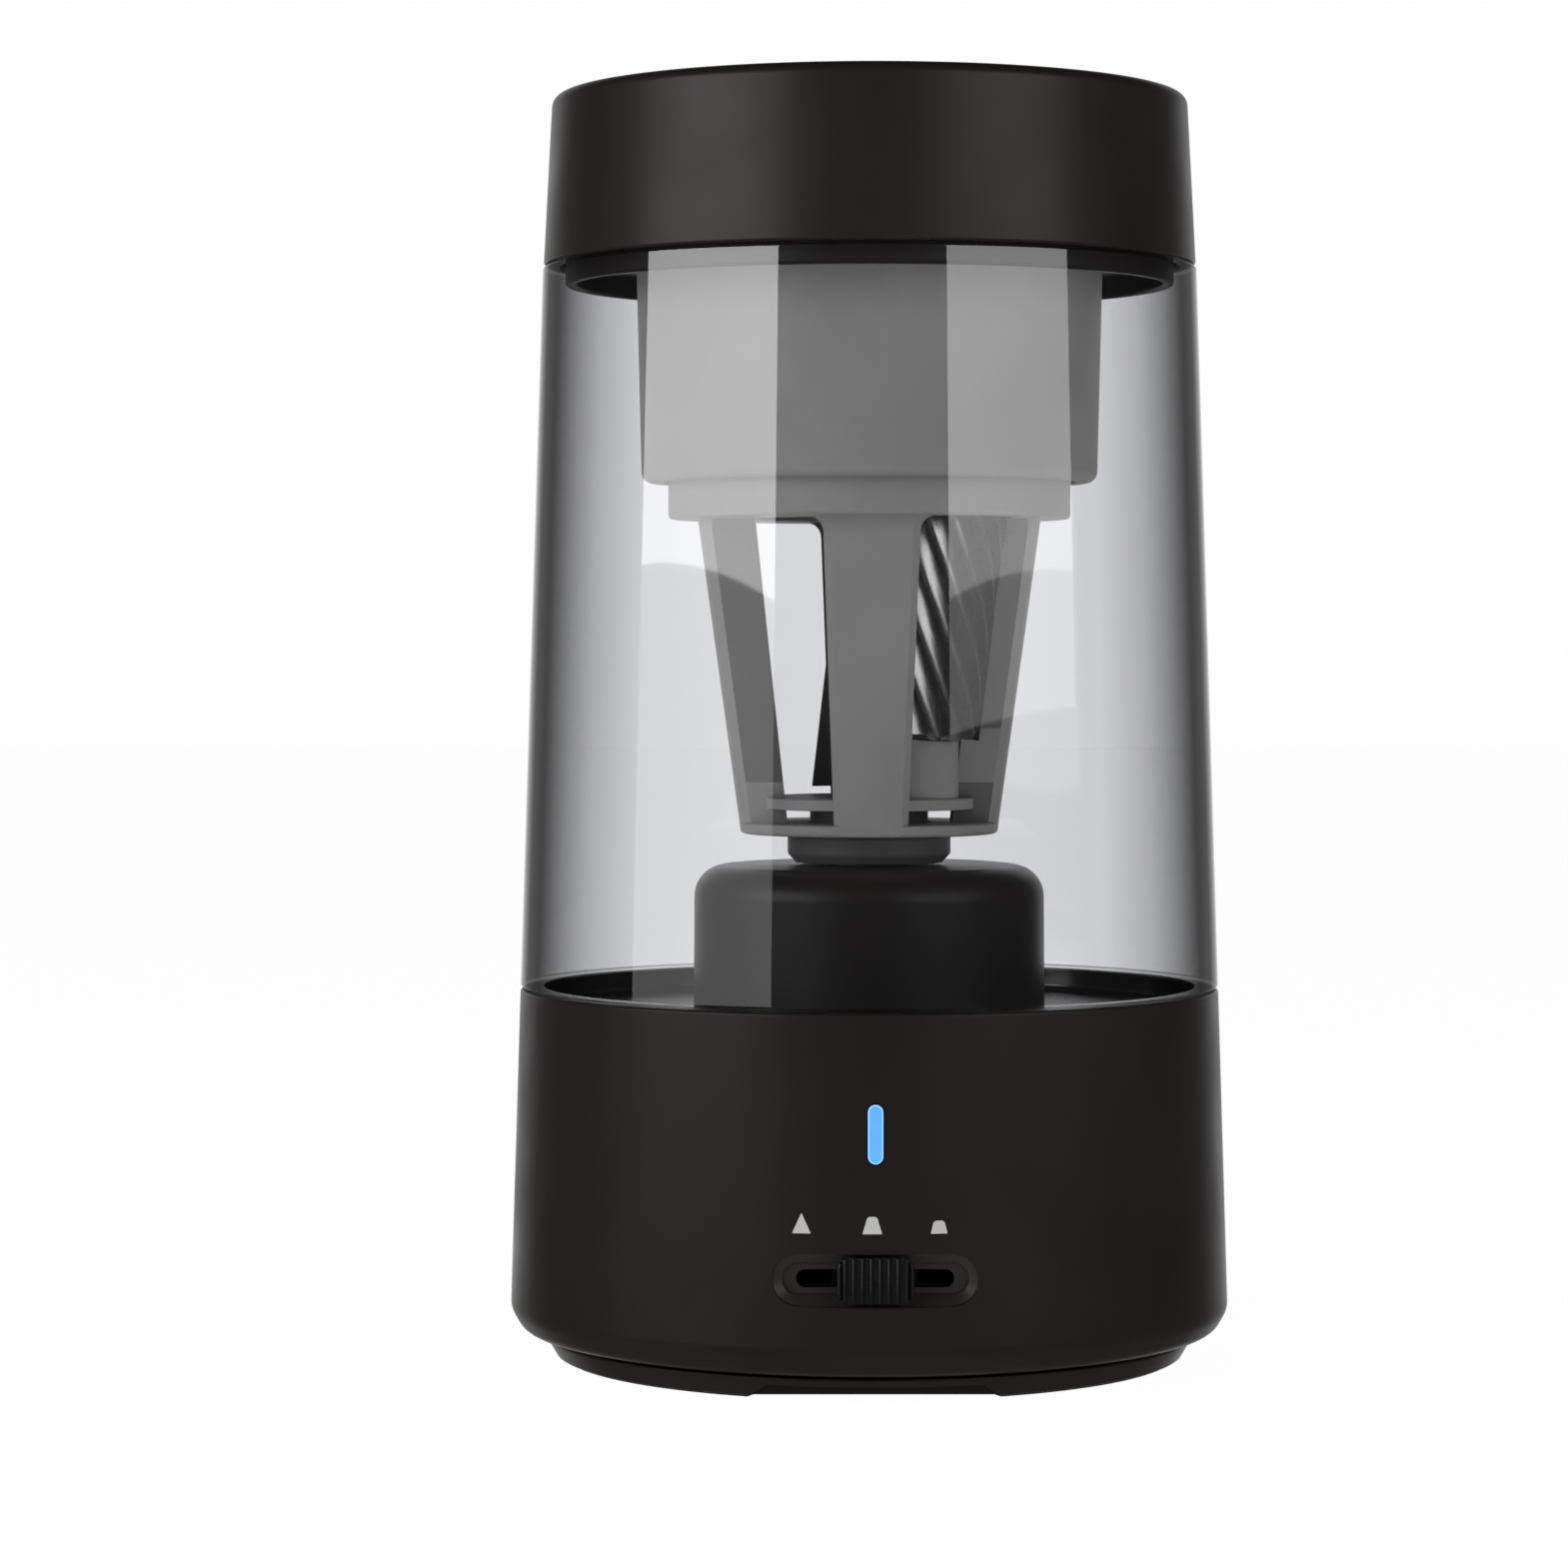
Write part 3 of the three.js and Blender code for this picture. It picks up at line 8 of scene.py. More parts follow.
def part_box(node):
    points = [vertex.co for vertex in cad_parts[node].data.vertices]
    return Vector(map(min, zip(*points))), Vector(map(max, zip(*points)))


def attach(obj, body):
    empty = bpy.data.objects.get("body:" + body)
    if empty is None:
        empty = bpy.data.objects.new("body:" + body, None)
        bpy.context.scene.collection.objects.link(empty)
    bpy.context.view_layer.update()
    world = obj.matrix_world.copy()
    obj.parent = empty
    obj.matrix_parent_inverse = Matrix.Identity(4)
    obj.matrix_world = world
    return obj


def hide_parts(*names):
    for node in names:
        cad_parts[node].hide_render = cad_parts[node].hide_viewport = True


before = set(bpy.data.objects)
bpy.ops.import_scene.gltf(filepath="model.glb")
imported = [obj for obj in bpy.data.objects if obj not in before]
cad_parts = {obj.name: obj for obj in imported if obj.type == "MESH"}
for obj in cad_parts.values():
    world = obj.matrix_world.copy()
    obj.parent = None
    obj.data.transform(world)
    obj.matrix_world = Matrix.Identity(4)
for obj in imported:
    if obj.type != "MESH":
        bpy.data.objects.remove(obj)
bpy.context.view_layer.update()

MM = 0.001


# ------------------------------------------------------------------ dimensions
def box_mm(node):
    low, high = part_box(node)
    return low / MM, high / MM


BASE_LOW, BASE_HIGH = box_mm("base_shell")
COVER_LOW, COVER_HIGH = box_mm("bottom_cover")
DECK_LOW, DECK_HIGH = box_mm("base_deck")
BIN_LOW, BIN_HIGH = box_mm("bin_shell")
CAP_LOW, CAP_HIGH = box_mm("cap_shell")
UNDER_LOW, UNDER_HIGH = box_mm("cap_underplate")
INLET_LOW, INLET_HIGH = box_mm("pencil_inlet")
HOUSING_LOW, HOUSING_HIGH = box_mm("cutter_housing")
CAGE_LOW, CAGE_HIGH = box_mm("carrier_cage")
SOCKET_LOW, SOCKET_HIGH = box_mm("drive_socket")
KNOB_LOW, KNOB_HIGH = box_mm("slide_knob")
LIGHT_LOW, LIGHT_HIGH = box_mm("light_pipe")
PORT_LOW, PORT_HIGH = box_mm("charging_port")
SPINDLE_TOP = box_mm("drive_spindle")[1].z

HEIGHT = CAP_HIGH.z
BASE_RADIUS = BASE_HIGH.x
SEAM = BASE_HIGH.z
SEAM_RADIUS = BIN_HIGH.x
BIN_TOP = BIN_HIGH.z
BIN_TOP_RADIUS = 36.3
WALL = 2
GAP = 0.3  # between faces of neighbouring pieces
RIM_INNER = 36.6  # inside of the base's rim, which takes the deck and the bin's spigot
DECK = 38.4
TOWER_TOP = DECK_HIGH.z
TOWER_RADIUS = 19.5
COLLAR_BOTTOM = 93.2
COLLAR_RADIUS = CAGE_HIGH.x
SLIDER_Z = (KNOB_LOW.z + KNOB_HIGH.z) / 2
LIGHT_Z = (LIGHT_LOW.z + LIGHT_HIGH.z) / 2
PORT_Z = (PORT_LOW.z + PORT_HIGH.z) / 2

CUTTER_TILT = math.radians(11)
CUTTER_AZIMUTH = math.radians(-45)
CUTTER_RADIUS = 6.8
POINT_TIP = 69
APEX = POINT_TIP - CUTTER_RADIUS / math.sin(CUTTER_TILT)

FINE = 192  # facets round the large shells
MEDIUM = 96
SMALL = 48


def base_radius(z):
    """Outside of the base at the height z, above its rounded lower edge."""
    start = 5.6
    share = (z - start) / (SEAM - start)
    return BASE_RADIUS + (SEAM_RADIUS - BASE_RADIUS) * share


# ------------------------------------------------------------------ mesh tools
def new_object(name, verts, faces):
    mesh = bpy.data.meshes.new(name)
    mesh.from_pydata([Vector(v) * MM for v in verts], [], faces)
    made = bmesh.new()
    made.from_mesh(mesh)
    bmesh.ops.remove_doubles(made, verts=made.verts, dist=1e-7)
    bmesh.ops.recalc_face_normals(made, faces=made.faces)
    made.to_mesh(mesh)
    made.free()
    obj = bpy.data.objects.new(name, mesh)
    bpy.context.scene.collection.objects.link(obj)
    return obj


def rounded(points, steps=5):
    """A closed outline of (a, b) or (a, b, radius) points, with each radius as an arc."""
    outline = []
    count = len(points)
    for i, point in enumerate(points):
        corner = Vector(point[:2])
        if len(point) == 2:
            outline.append(tuple(corner))
            continue
        before = Vector(points[i - 1][:2]) - corner
        after = Vector(points[(i + 1) % count][:2]) - corner
        half = before.angle(after) / 2
        reach = min(point[2] / math.tan(half), 0.49 * before.length, 0.49 * after.length)
        radius = reach * math.tan(half)
        middle = (before.normalized() + after.normalized()).normalized()
        centre = corner + middle * (radius / math.sin(half))
        start = corner + before.normalized() * reach - centre
        end = corner + after.normalized() * reach - centre
        turn = start.angle_signed(end)
        for step in range(steps + 1):
            spin = Matrix.Rotation(-turn * step / steps, 2)
            outline.append(tuple(centre + spin @ start))
    return outline


def lathe(name, profile, facets=FINE, steps=5):
    """A ring or disc turned about Z from a closed outline of (radius, height) points."""
    verts = []
    rings = []
    for radius, z in rounded(profile, steps):
        around = 1 if radius < 1e-6 else facets
        rings.append(range(len(verts), len(verts) + around))
        for i in range(around):
            angle = 2 * math.pi * i / facets
            verts.append((radius * math.sin(angle), -radius * math.cos(angle), z))
    faces = []
    for low, high in zip(rings, rings[1:] + rings[:1]):
        if len(low) == 1 and len(high) == 1:
            continue
        for i in range(facets):
            j = i + 1
            corners = [low[i % len(low)], low[j % len(low)], high[j % len(high)], high[i % len(high)]]
            faces.append(list(dict.fromkeys(corners)))
    return new_object(name, verts, faces)


def rod(radius, low, high):
    """A plain round bar on Z, which is also what cuts a hole."""
    return lathe("rod", [(0, low), (radius, low), (radius, high), (0, high)], SMALL)


def loft(name, sections):
    """A solid through closed sections that all have the same number of points."""
    count = len(sections[0])
    verts = [point for section in sections for point in section]
    faces = [list(range(count)), list(range(len(verts) - count, len(verts)))]
    for level in range(len(sections) - 1):
        for i in range(count):
            j = (i + 1) % count
            low = level * count
            faces.append([low + i, low + j, low + count + j, low + count + i])
    return new_object(name, verts, faces)


def upright(name, outline, back, front):
    """An outline in X and Z, drawn through from y = back to y = front."""
    return loft(name, [[(x, y, z) for x, z in outline] for y in (back, front)])


def flat(name, outline, bottom, top):
    return loft(name, [[(x, y, z) for x, y in outline] for z in (bottom, top)])


def block(name, low, high):
    outline = [(low[0], low[1]), (high[0], low[1]), (high[0], high[1]), (low[0], high[1])]
    return flat(name, outline, low[2], high[2])


def stadium(length, width, grow=0, steps=12):
    """Outline of a slot with half-round ends, long way first."""
    radius = width / 2
    reach = length / 2 - radius
    points = []
    for side, start in ((1, -math.pi / 2), (-1, math.pi / 2)):
        for step in range(steps + 1):
            angle = start + math.pi * step / steps
            x = side * reach + (radius + grow) * math.cos(angle)
            points.append((x, (radius + grow) * math.sin(angle)))
    return points


def upright_stadium(length, width, grow=0):
    """The same slot with its long way up."""
    return [(b, a) for a, b in stadium(length, width, grow)]


def rounded_box(half_width, half_height, radius, steps):
    corners = [(-1, -1), (1, -1), (1, 1), (-1, 1)]
    return rounded([(a * half_width, b * half_height, radius) for a, b in corners], steps)


def apply_modifiers(obj):
    evaluated = obj.evaluated_get(bpy.context.evaluated_depsgraph_get())
    mesh = bpy.data.meshes.new_from_object(evaluated)
    obj.modifiers.clear()
    obj.data = mesh
    return obj


def combine(body, tool, operation):
    modifier = body.modifiers.new("combine", "BOOLEAN")
    modifier.operation = operation
    modifier.solver = "EXACT"
    modifier.object = tool
    apply_modifiers(body)
    bpy.data.objects.remove(tool)
    return body


def cut(body, *tools):
    for tool in tools:
        combine(body, tool, "DIFFERENCE")
    return body


def join(body, *tools):
    for tool in tools:
        combine(body, tool, "UNION")
    return body


def shared(body, tool):
    return combine(body, tool, "INTERSECT")


def move(obj, matrix):
    obj.data.transform(matrix)
    return obj


def turn(obj, degrees, axis="Z"):
    return move(obj, Matrix.Rotation(math.radians(degrees), 4, axis))


def shift(obj, x=0, y=0, z=0):
    return move(obj, Matrix.Translation(Vector((x, y, z)) * MM))


# A shape made about Z with its zero at the apex, carried onto the cutter's leaning axis.
CUTTER_FRAME = (
    Matrix.Translation((0, 0, APEX * MM))
    @ Matrix.Rotation(CUTTER_AZIMUTH, 4, "Z")
    @ Matrix.Rotation(CUTTER_TILT, 4, "Y")
)


def along(z):
    """Distance from the apex along the cutter's axis to the height z."""
    return (z - APEX) / math.cos(CUTTER_TILT)


# ------------------------------------------------------------------ materials
# Levels of the clear bin's wall, from seen head on (0) to seen edge-on (1).
# LET_THROUGH keeps a faint real tint head on. Its fall towards edge-on is painted shade for the dark
# surroundings seen through the curved wall, and its rise at the very edge is a painted rim highlight.
LET_THROUGH = [
    (0, 0.98), (0.27, 0.926), (0.42, 0.737), (0.54, 0.527),
    (0.69, 0.24), (0.8, 0.24), (0.9, 0.4), (1, 0.7),
]
MIRRORED = [
    (0, 0.13), (0.3, 0.13), (0.42, 0.1), (0.54, 0.07),
    (0.69, 0.05), (0.8, 0.07), (0.88, 0.25), (0.95, 0.6), (1, 0.9),
]


class Nodes:
    """The node tree of one material, with short calls for the nodes used here."""

    def __init__(self, name):
        self.material = bpy.data.materials.new(name)
        self.material.use_nodes = True
        self.tree = self.material.node_tree
        self.tree.nodes.clear()
        self.output = self.add("ShaderNodeOutputMaterial")
        self.place = self.add("ShaderNodeTexCoord").outputs["Object"]

    def add(self, kind, **settings):
        node = self.tree.nodes.new(kind)
        for key, value in settings.items():
            setattr(node, key, value)
        return node

    def link(self, source, target):
        self.tree.links.new(source, target)

    def principled(self, **values):
        shader = self.add("ShaderNodeBsdfPrincipled")
        for key, value in values.items():
            shader.inputs[key.replace("_", " ")].default_value = value
        return shader

    def noise(self, scale, detail=3, stretch=(1, 1, 1)):
        mapping = self.add("ShaderNodeMapping")
        mapping.inputs["Scale"].default_value = stretch
        texture = self.add("ShaderNodeTexNoise")
        texture.inputs["Scale"].default_value = scale
        texture.inputs["Detail"].default_value = detail
        self.link(self.place, mapping.inputs["Vector"])
        self.link(mapping.outputs["Vector"], texture.inputs["Vector"])
        return texture.outputs["Fac"]

    def spread(self, source, low, high):
        ranged = self.add("ShaderNodeMapRange")
        ranged.inputs["From Min"].default_value = 0.3
        ranged.inputs["From Max"].default_value = 0.7
        ranged.inputs["To Min"].default_value = low
        ranged.inputs["To Max"].default_value = high
        self.link(source, ranged.inputs["Value"])
        return ranged.outputs["Result"]

    def blend(self, share, first, second):
        mixed = self.add("ShaderNodeMix", data_type="RGBA")
        mixed.inputs[6].default_value = (*first, 1)
        mixed.inputs[7].default_value = (*second, 1)
        self.link(share, mixed.inputs[0])
        return mixed.outputs[2]

    def ramp(self, source, stops, tint=(1, 1, 1)):
        """A level that follows the stops, which are (position, level) pairs."""
        ramp = self.add("ShaderNodeValToRGB")
        elements = ramp.color_ramp.elements
        while len(elements) < len(stops):
            elements.new(0.5)
        for element, (position, level) in zip(elements, stops):
            element.position = position
            element.color = (*[level * c for c in tint], 1)
        self.link(source, ramp.inputs["Fac"])
        return ramp.outputs["Color"]

    def mirrored(self, under, share):
        """A mirror over a shader, with the share that each point of the surface mirrors."""
        mirror = self.add("ShaderNodeBsdfGlossy")
        mirror.inputs["Roughness"].default_value = 0.02
        mix = self.add("ShaderNodeMixShader")
        self.link(share, mix.inputs["Fac"])
        self.link(under.outputs[0], mix.inputs[1])
        self.link(mirror.outputs[0], mix.inputs[2])
        return mix.outputs[0]

    def bump(self, height, depth, strength=1.0):
        bump = self.add("ShaderNodeBump")
        bump.inputs["Distance"].default_value = depth * MM
        bump.inputs["Strength"].default_value = strength
        self.link(height, bump.inputs["Height"])
        return bump.outputs["Normal"]


def moulded(name, colour, roughness, grain=0.003, variation=0.1, gloss=0.5):
    """Injection-moulded plastic: a fine spark-eroded grain, with slow changes of tone and gloss."""
    n = Nodes(name)
    shader = n.principled(Metallic=0.0, Specular_IOR_Level=gloss)
    tone = n.noise(60, 4)
    darker = [c * (1 - variation) for c in colour]
    lighter = [c * (1 + variation) for c in colour]
    n.link(n.blend(n.spread(tone, 0, 1), darker, lighter), shader.inputs["Base Color"])
    n.link(n.spread(n.noise(110, 5), roughness - 0.04, roughness + 0.04), shader.inputs["Roughness"])
    n.link(n.bump(n.noise(3200, 2), grain), shader.inputs["Normal"])
    n.link(shader.outputs[0], n.output.inputs["Surface"])
    return n.material


def metal(name, colour, roughness, stretch=(1, 1, 1), scale=900, depth=0.002):
    """Metal with tool marks that run along the axis where stretch is small."""
    n = Nodes(name)
    shader = n.principled(Metallic=1.0)
    marks = n.noise(scale, 4, stretch)
    darker = [c * 0.82 for c in colour]
    n.link(n.blend(n.spread(marks, 0, 1), darker, colour), shader.inputs["Base Color"])
    n.link(n.spread(marks, roughness - 0.07, roughness + 0.07), shader.inputs["Roughness"])
    n.link(n.bump(marks, depth), shader.inputs["Normal"])
    n.link(shader.outputs[0], n.output.inputs["Surface"])
    return n.material


def clear_tint_and_painted_edge_shade(name):
    """Clear plastic with a faint smoky tint; painted shade darkens it where the wall is seen edge-on, with a
    painted rim highlight at its very edge. It mirrors the lamps faintly, and the bright studio at its very
    edge."""
    n = Nodes(name)
    weight = n.add("ShaderNodeLayerWeight")
    weight.inputs["Blend"].default_value = 0.5
    facing = weight.outputs["Facing"]
    through = n.add("ShaderNodeBsdfTransparent")
    n.link(n.ramp(facing, LET_THROUGH, tint=(0.985, 0.99, 1)), through.inputs["Color"])
    n.link(n.mirrored(through, n.ramp(facing, MIRRORED)), n.output.inputs["Surface"])
    return n.material


def clear_inside(name):
    """The inner face of the same wall: almost nothing happens there."""
    n = Nodes(name)
    through = n.add("ShaderNodeBsdfTransparent")
    through.inputs["Color"].default_value = (0.97, 0.97, 0.975, 1)
    n.link(through.outputs[0], n.output.inputs["Surface"])
    return n.material


def glowing(name, colour, strength):
    """A lit light pipe: tinted plastic that gives out its own light."""
    n = Nodes(name)
    shader = n.principled(Roughness=0.35, Emission_Strength=strength)
    shader.inputs["Emission Color"].default_value = (*colour, 1)
    tone = n.spread(n.noise(900, 2), 0, 1)
    n.link(n.blend(tone, [c * 0.9 for c in colour], colour), shader.inputs["Base Color"])
    n.link(shader.outputs[0], n.output.inputs["Surface"])
    return n.material


def circuit_board(name):
    """Green solder mask with paler tracks under it."""
    n = Nodes(name)
    shader = n.principled(Roughness=0.4)
    tracks = n.add("ShaderNodeTexBrick")
    tracks.inputs["Scale"].default_value = 260
    tracks.inputs["Color1"].default_value = (0.012, 0.09, 0.035, 1)
    tracks.inputs["Color2"].default_value = (0.016, 0.11, 0.045, 1)
    tracks.inputs["Mortar"].default_value = (0.03, 0.2, 0.08, 1)
    n.link(n.place, tracks.inputs["Vector"])
    n.link(tracks.outputs["Color"], shader.inputs["Base Color"])
    n.link(n.bump(tracks.outputs["Fac"], 0.03), shader.inputs["Normal"])
    n.link(shader.outputs[0], n.output.inputs["Surface"])
    return n.material


BLACK = moulded("satin_black", (0.017, 0.0138, 0.0122), 0.37, gloss=0.3)
POCKET_BLACK = moulded("pocket_black", (0.036, 0.031, 0.029), 0.4, gloss=0.4)
GRIP_BLACK = moulded("grip_black", (0.007, 0.0065, 0.0062), 0.42, gloss=0.5)
INK_GREY = moulded("printed_grey", (0.6, 0.6, 0.59), 0.6, grain=0.002)
GREY = moulded("mid_grey", (0.335, 0.326, 0.318), 0.5, gloss=0.35)
# A darker copy of the mid grey for the cage's inner and side faces: painted shade, not a different plastic.
PAINTED_SHADE_GREY = moulded("painted_shade_grey", (0.17, 0.167, 0.165), 0.55, gloss=0.3)
DARK = moulded("dark_grey", (0.144, 0.144, 0.146), 0.48, gloss=0.35)
NATURAL = moulded("natural_acetal", (0.72, 0.7, 0.65), 0.45, variation=0.05)
RUBBER = moulded("silicone_black", (0.012, 0.012, 0.012), 0.75, grain=0.02, gloss=0.3)
CLEAR = clear_tint_and_painted_edge_shade("clear_tint_and_painted_edge_shade")
CLEAR_INSIDE = clear_inside("clear_inside")
STEEL = metal("bright_steel", (0.62, 0.62, 0.63), 0.25, stretch=(1, 1, 8))
TOOL_STEEL = metal("ground_tool_steel", (0.66, 0.655, 0.65), 0.3, stretch=(1, 1, 0.2), scale=1400)
BRONZE = metal("sintered_bronze", (0.5, 0.3, 0.14), 0.45, scale=2500, depth=0.01)
BRASS = metal("machined_brass", (0.75, 0.56, 0.24), 0.3)
FOIL = metal("cell_foil", (0.5, 0.52, 0.55), 0.42, scale=300, depth=0.05)
BOARD = circuit_board("solder_mask")
PIPE = moulded("frosted_pipe", (0.35, 0.37, 0.4), 0.45)
GLOW = glowing("lit_blue", (0.09, 0.34, 0.88), 0.66)
GLOW_RIM = glowing("lit_blue_rim", (0.26, 0.52, 1.0), 0.8)


def dress(obj, material, body, slot, *nodes, angle=32):
    """Gives a piece its material, its smooth shading, the body it rides on and the nodes it stands for."""
    mesh = obj.data
    if not mesh.materials:
        mesh.materials.append(material)
    for polygon in mesh.polygons:
        polygon.use_smooth = True
    mesh.set_sharp_from_angle(angle=math.radians(angle))
    # Long walls keep their own direction up to their ends, and the small fillets do the turning.
    weighted = obj.modifiers.new("weighted", "WEIGHTED_NORMAL")
    weighted.keep_sharp = True
    apply_modifiers(obj)
    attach(obj, body)
    if nodes:
        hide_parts(*nodes)
    return obj


# ------------------------------------------------------------------ base shell
POCKET = {"length": 21.5, "width": 5.4, "inset": 1.1, "floor": -37.2}


def on_base(x, z, proud):
    """A point on the base's front at x and z, standing proud of its surface."""
    radius = base_radius(z) + proud
    return (x, -math.sqrt(radius ** 2 - x ** 2), z)


def slider_pocket():
    """The space in front of the slider: a crisp rim, sides that close in, and a second rim at the flat floor.
    Its front end is flat and clear of the shell, so the cut goes right through the curved skin."""
    def outline(grow):
        return stadium(POCKET["length"], POCKET["width"], grow)

    sections = [[(x, -BASE_RADIUS - 1, z + SLIDER_Z) for x, z in outline(0.1)]]
    for proud, grow in [(0.3, 0.1), (0.0, 0.05), (-0.35, -0.03)]:
        sections.append([on_base(x, z + SLIDER_Z, proud) for x, z in outline(grow)])
    for above_floor, grow in [(0.45, 0.12), (0, 0)]:
        y = POCKET["floor"] - above_floor
        sections.append([(x, y, z + SLIDER_Z) for x, z in outline(grow - POCKET["inset"])])
    return loft("pocket", sections)


def in_pocket(point):
    """Whether a point of the shell lies in the pocket, behind the shell's outer skin."""
    x, y, z = point / MM
    across = abs(x) < POCKET["length"] / 2 + 0.2
    up = abs(z - SLIDER_Z) < POCKET["width"] / 2 + 0.2
    return across and up and y < POCKET["floor"] + 0.1 and math.hypot(x, y) < base_radius(z) - 0.25


LIGHT = {"length": 6.2, "width": 1.6, "back": -32.4, "flange_length": 8.4, "flange_width": 3.8}
STEM = {"half_width": 2, "half_height": 0.7}
STEM_SLOT = {"length": 16.5, "width": 1.9}
PORT = {"length": 8.9, "height": 3.2, "wall": 0.3, "depth": 7.3}
LATCH_MARK = {"half_thickness": 0.5, "half_width": 1.2, "depth": 0.9}


def front_slot(name, outline, z):
    """The space of a slot that goes through the front of the shell."""
    return shift(upright(name, outline, -34, -BASE_RADIUS - 1), z=z)


def port_slot():
    """The opening for the charging port, which widens outwards like a funnel."""
    mouth = stadium(PORT["length"] + 0.8, PORT["height"] + 0.7)
    return loft("port_slot", [
        [(x, 36, z + PORT_Z) for x, z in mouth],
        [(x, 39.2, z + PORT_Z) for x, z in mouth],
        [(1.12 * x, 41, 1.3 * z + PORT_Z) for x, z in mouth],
    ])


def latch_mark(side):
    across, along_rim = LATCH_MARK["half_thickness"], LATCH_MARK["half_width"]
    low, high = SEAM - LATCH_MARK["depth"], SEAM + 1
    mark = block("latch_mark", (-across, -along_rim, low), (across, along_rim, high))
    return shift(mark, x=side * SEAM_RADIUS)


def build_base_shell():
    flange = BASE_LOW.z
    shell = lathe("base_shell_fine", [
        (29, flange, 0.3),
        (36.4, flange, 0.5),
        (38.7, flange + 0.5, 2.2),
        (BASE_RADIUS + 0.02, 5.6, 2.5),
        (SEAM_RADIUS, SEAM, 0.35),
        (RIM_INNER, SEAM, 0.35),
        (RIM_INNER, 36.1),
        (35, 36.1),
        (35, 34.5),
        (37.2, 32.5),
        (37.4, 6.5),
        (36, 4.8),
        (29, 4.8),
    ])
    slider_wall = shared(
        block("slider_wall", (-14, -39, 9.4), (14, -35.2, 17.2)),
        lathe("inside", [(0, 9), (38.5, 9), (38.5, 18), (0, 18)], MEDIUM),
    )
    join(shell, slider_wall)
    stem_slot = stadium(STEM_SLOT["length"], STEM_SLOT["width"])
    light_slot = upright_stadium(LIGHT["length"] + 0.3, LIGHT["width"] + 0.26)
    cut(
        shell,
        slider_pocket(),
        front_slot("stem_slot", stem_slot, SLIDER_Z),
        front_slot("light_slot", light_slot, LIGHT_Z),
        port_slot(),
        latch_mark(-1),
        latch_mark(1),
    )
    shell.data.materials.append(BLACK)
    shell.data.materials.append(POCKET_BLACK)
    for polygon in shell.data.polygons:
        polygon.material_index = 1 if in_pocket(polygon.center) else 0
    dress(shell, BLACK, "base", "black_plastic", "base_shell")


build_base_shell()


# ------------------------------------------------------------------ marks for the three points
def point_mark(half_width, height, top_half_width):
    """A pencil point: a triangle for sharp, with a round top for the blunter ones."""
    if top_half_width == 0:
        return rounded([(-half_width, 0, 0.05), (half_width, 0, 0.05), (0, height, 0.05)], 3)
    top = 0.75 * top_half_width
    return rounded([
        (-half_width, 0, 0.05),
        (half_width, 0, 0.05),
        (top_half_width, height, top),
        (-top_half_width, height, top),
    ], 6)


# Each mark's place across the front, half width, height and half width of its top.
MARKS = {
    "mark_sharp": (-7.7, 0.98, 2.15, 0),
    "mark_medium": (-0.35, 1.02, 1.8, 0.5),
    "mark_blunt": (6.6, 0.88, 1.35, 0.55),
}
MARK_Z = 18.2
MARK_PROUD = 0.035


def build_marks():
    for name, (x, half_width, height, top_half_width) in MARKS.items():
        mark = upright(name, point_mark(half_width, height, top_half_width), -30, -45)
        shift(mark, x=x, z=MARK_Z)
        low, high = MARK_Z - 1, MARK_Z + 4
        skin = lathe("skin", [
            (base_radius(low) - 0.1, low),
            (base_radius(low) + MARK_PROUD, low),
            (base_radius(high) + MARK_PROUD, high),
            (base_radius(high) - 0.1, high),
        ], 2 * FINE)
        dress(shared(mark, skin), INK_GREY, "base", "grey_plastic")


build_marks()


# ------------------------------------------------------------------ deck, cover, feet
TOWER = {"inner": 17.2, "roof": 52.2, "sleeve": 6.8, "sleeve_bottom": 49.5, "bush": 4.6}


def build_deck():
    inner, roof, bush = TOWER["inner"], TOWER["roof"], TOWER["bush"]
    deck = lathe("base_deck_fine", [
        (inner, DECK_LOW.z),
        (RIM_INNER - GAP, DECK_LOW.z),
        (RIM_INNER - GAP, DECK),
        (TOWER_RADIUS + 0.1, DECK, 0.8),
        (TOWER_RADIUS, TOWER_TOP, 3.5),
        (bush, TOWER_TOP, 0.3),
        (bush, TOWER["sleeve_bottom"]),
        (TOWER["sleeve"], TOWER["sleeve_bottom"]),
        (TOWER["sleeve"], roof),
        (inner - 2.4, roof),
        (inner, roof - 2.2),
    ], steps=8)
    dress(deck, BLACK, "base", "black_plastic", "base_deck")


build_deck()

NOTCH = {"half_width": 13.5, "slant": 2, "height": 1.6, "back": -31.6}
COVER_SCREWS = ("cover_screw_1", "cover_screw_2", "cover_screw_3")
SINK = [(0, -1), (3.1, -1), (3.1, 0.8), (1.5, 2.3), (1.5, 4), (0, 4)]  # for a screw's head
FEET = {45: "foot_pad_1", 135: "foot_pad_2", 225: "foot_pad_3", 315: "foot_pad_4"}
FOOT = {"inner": 32, "outer": 34.4, "half_degrees": 22, "top": 1}


def middle_mm(node):
    low, high = box_mm(node)
    return (low + high) / 2


def sector(ring, half_degrees, middle_degrees):
    """The part of a ring within an angle on both sides of a direction."""
    reach = 50
    rise = reach * math.tan(math.radians(half_degrees))
    wedge = flat("wedge", [(0, 0), (reach, -rise), (reach, rise)], -2, 2)
    return turn(shared(ring, wedge), middle_degrees)


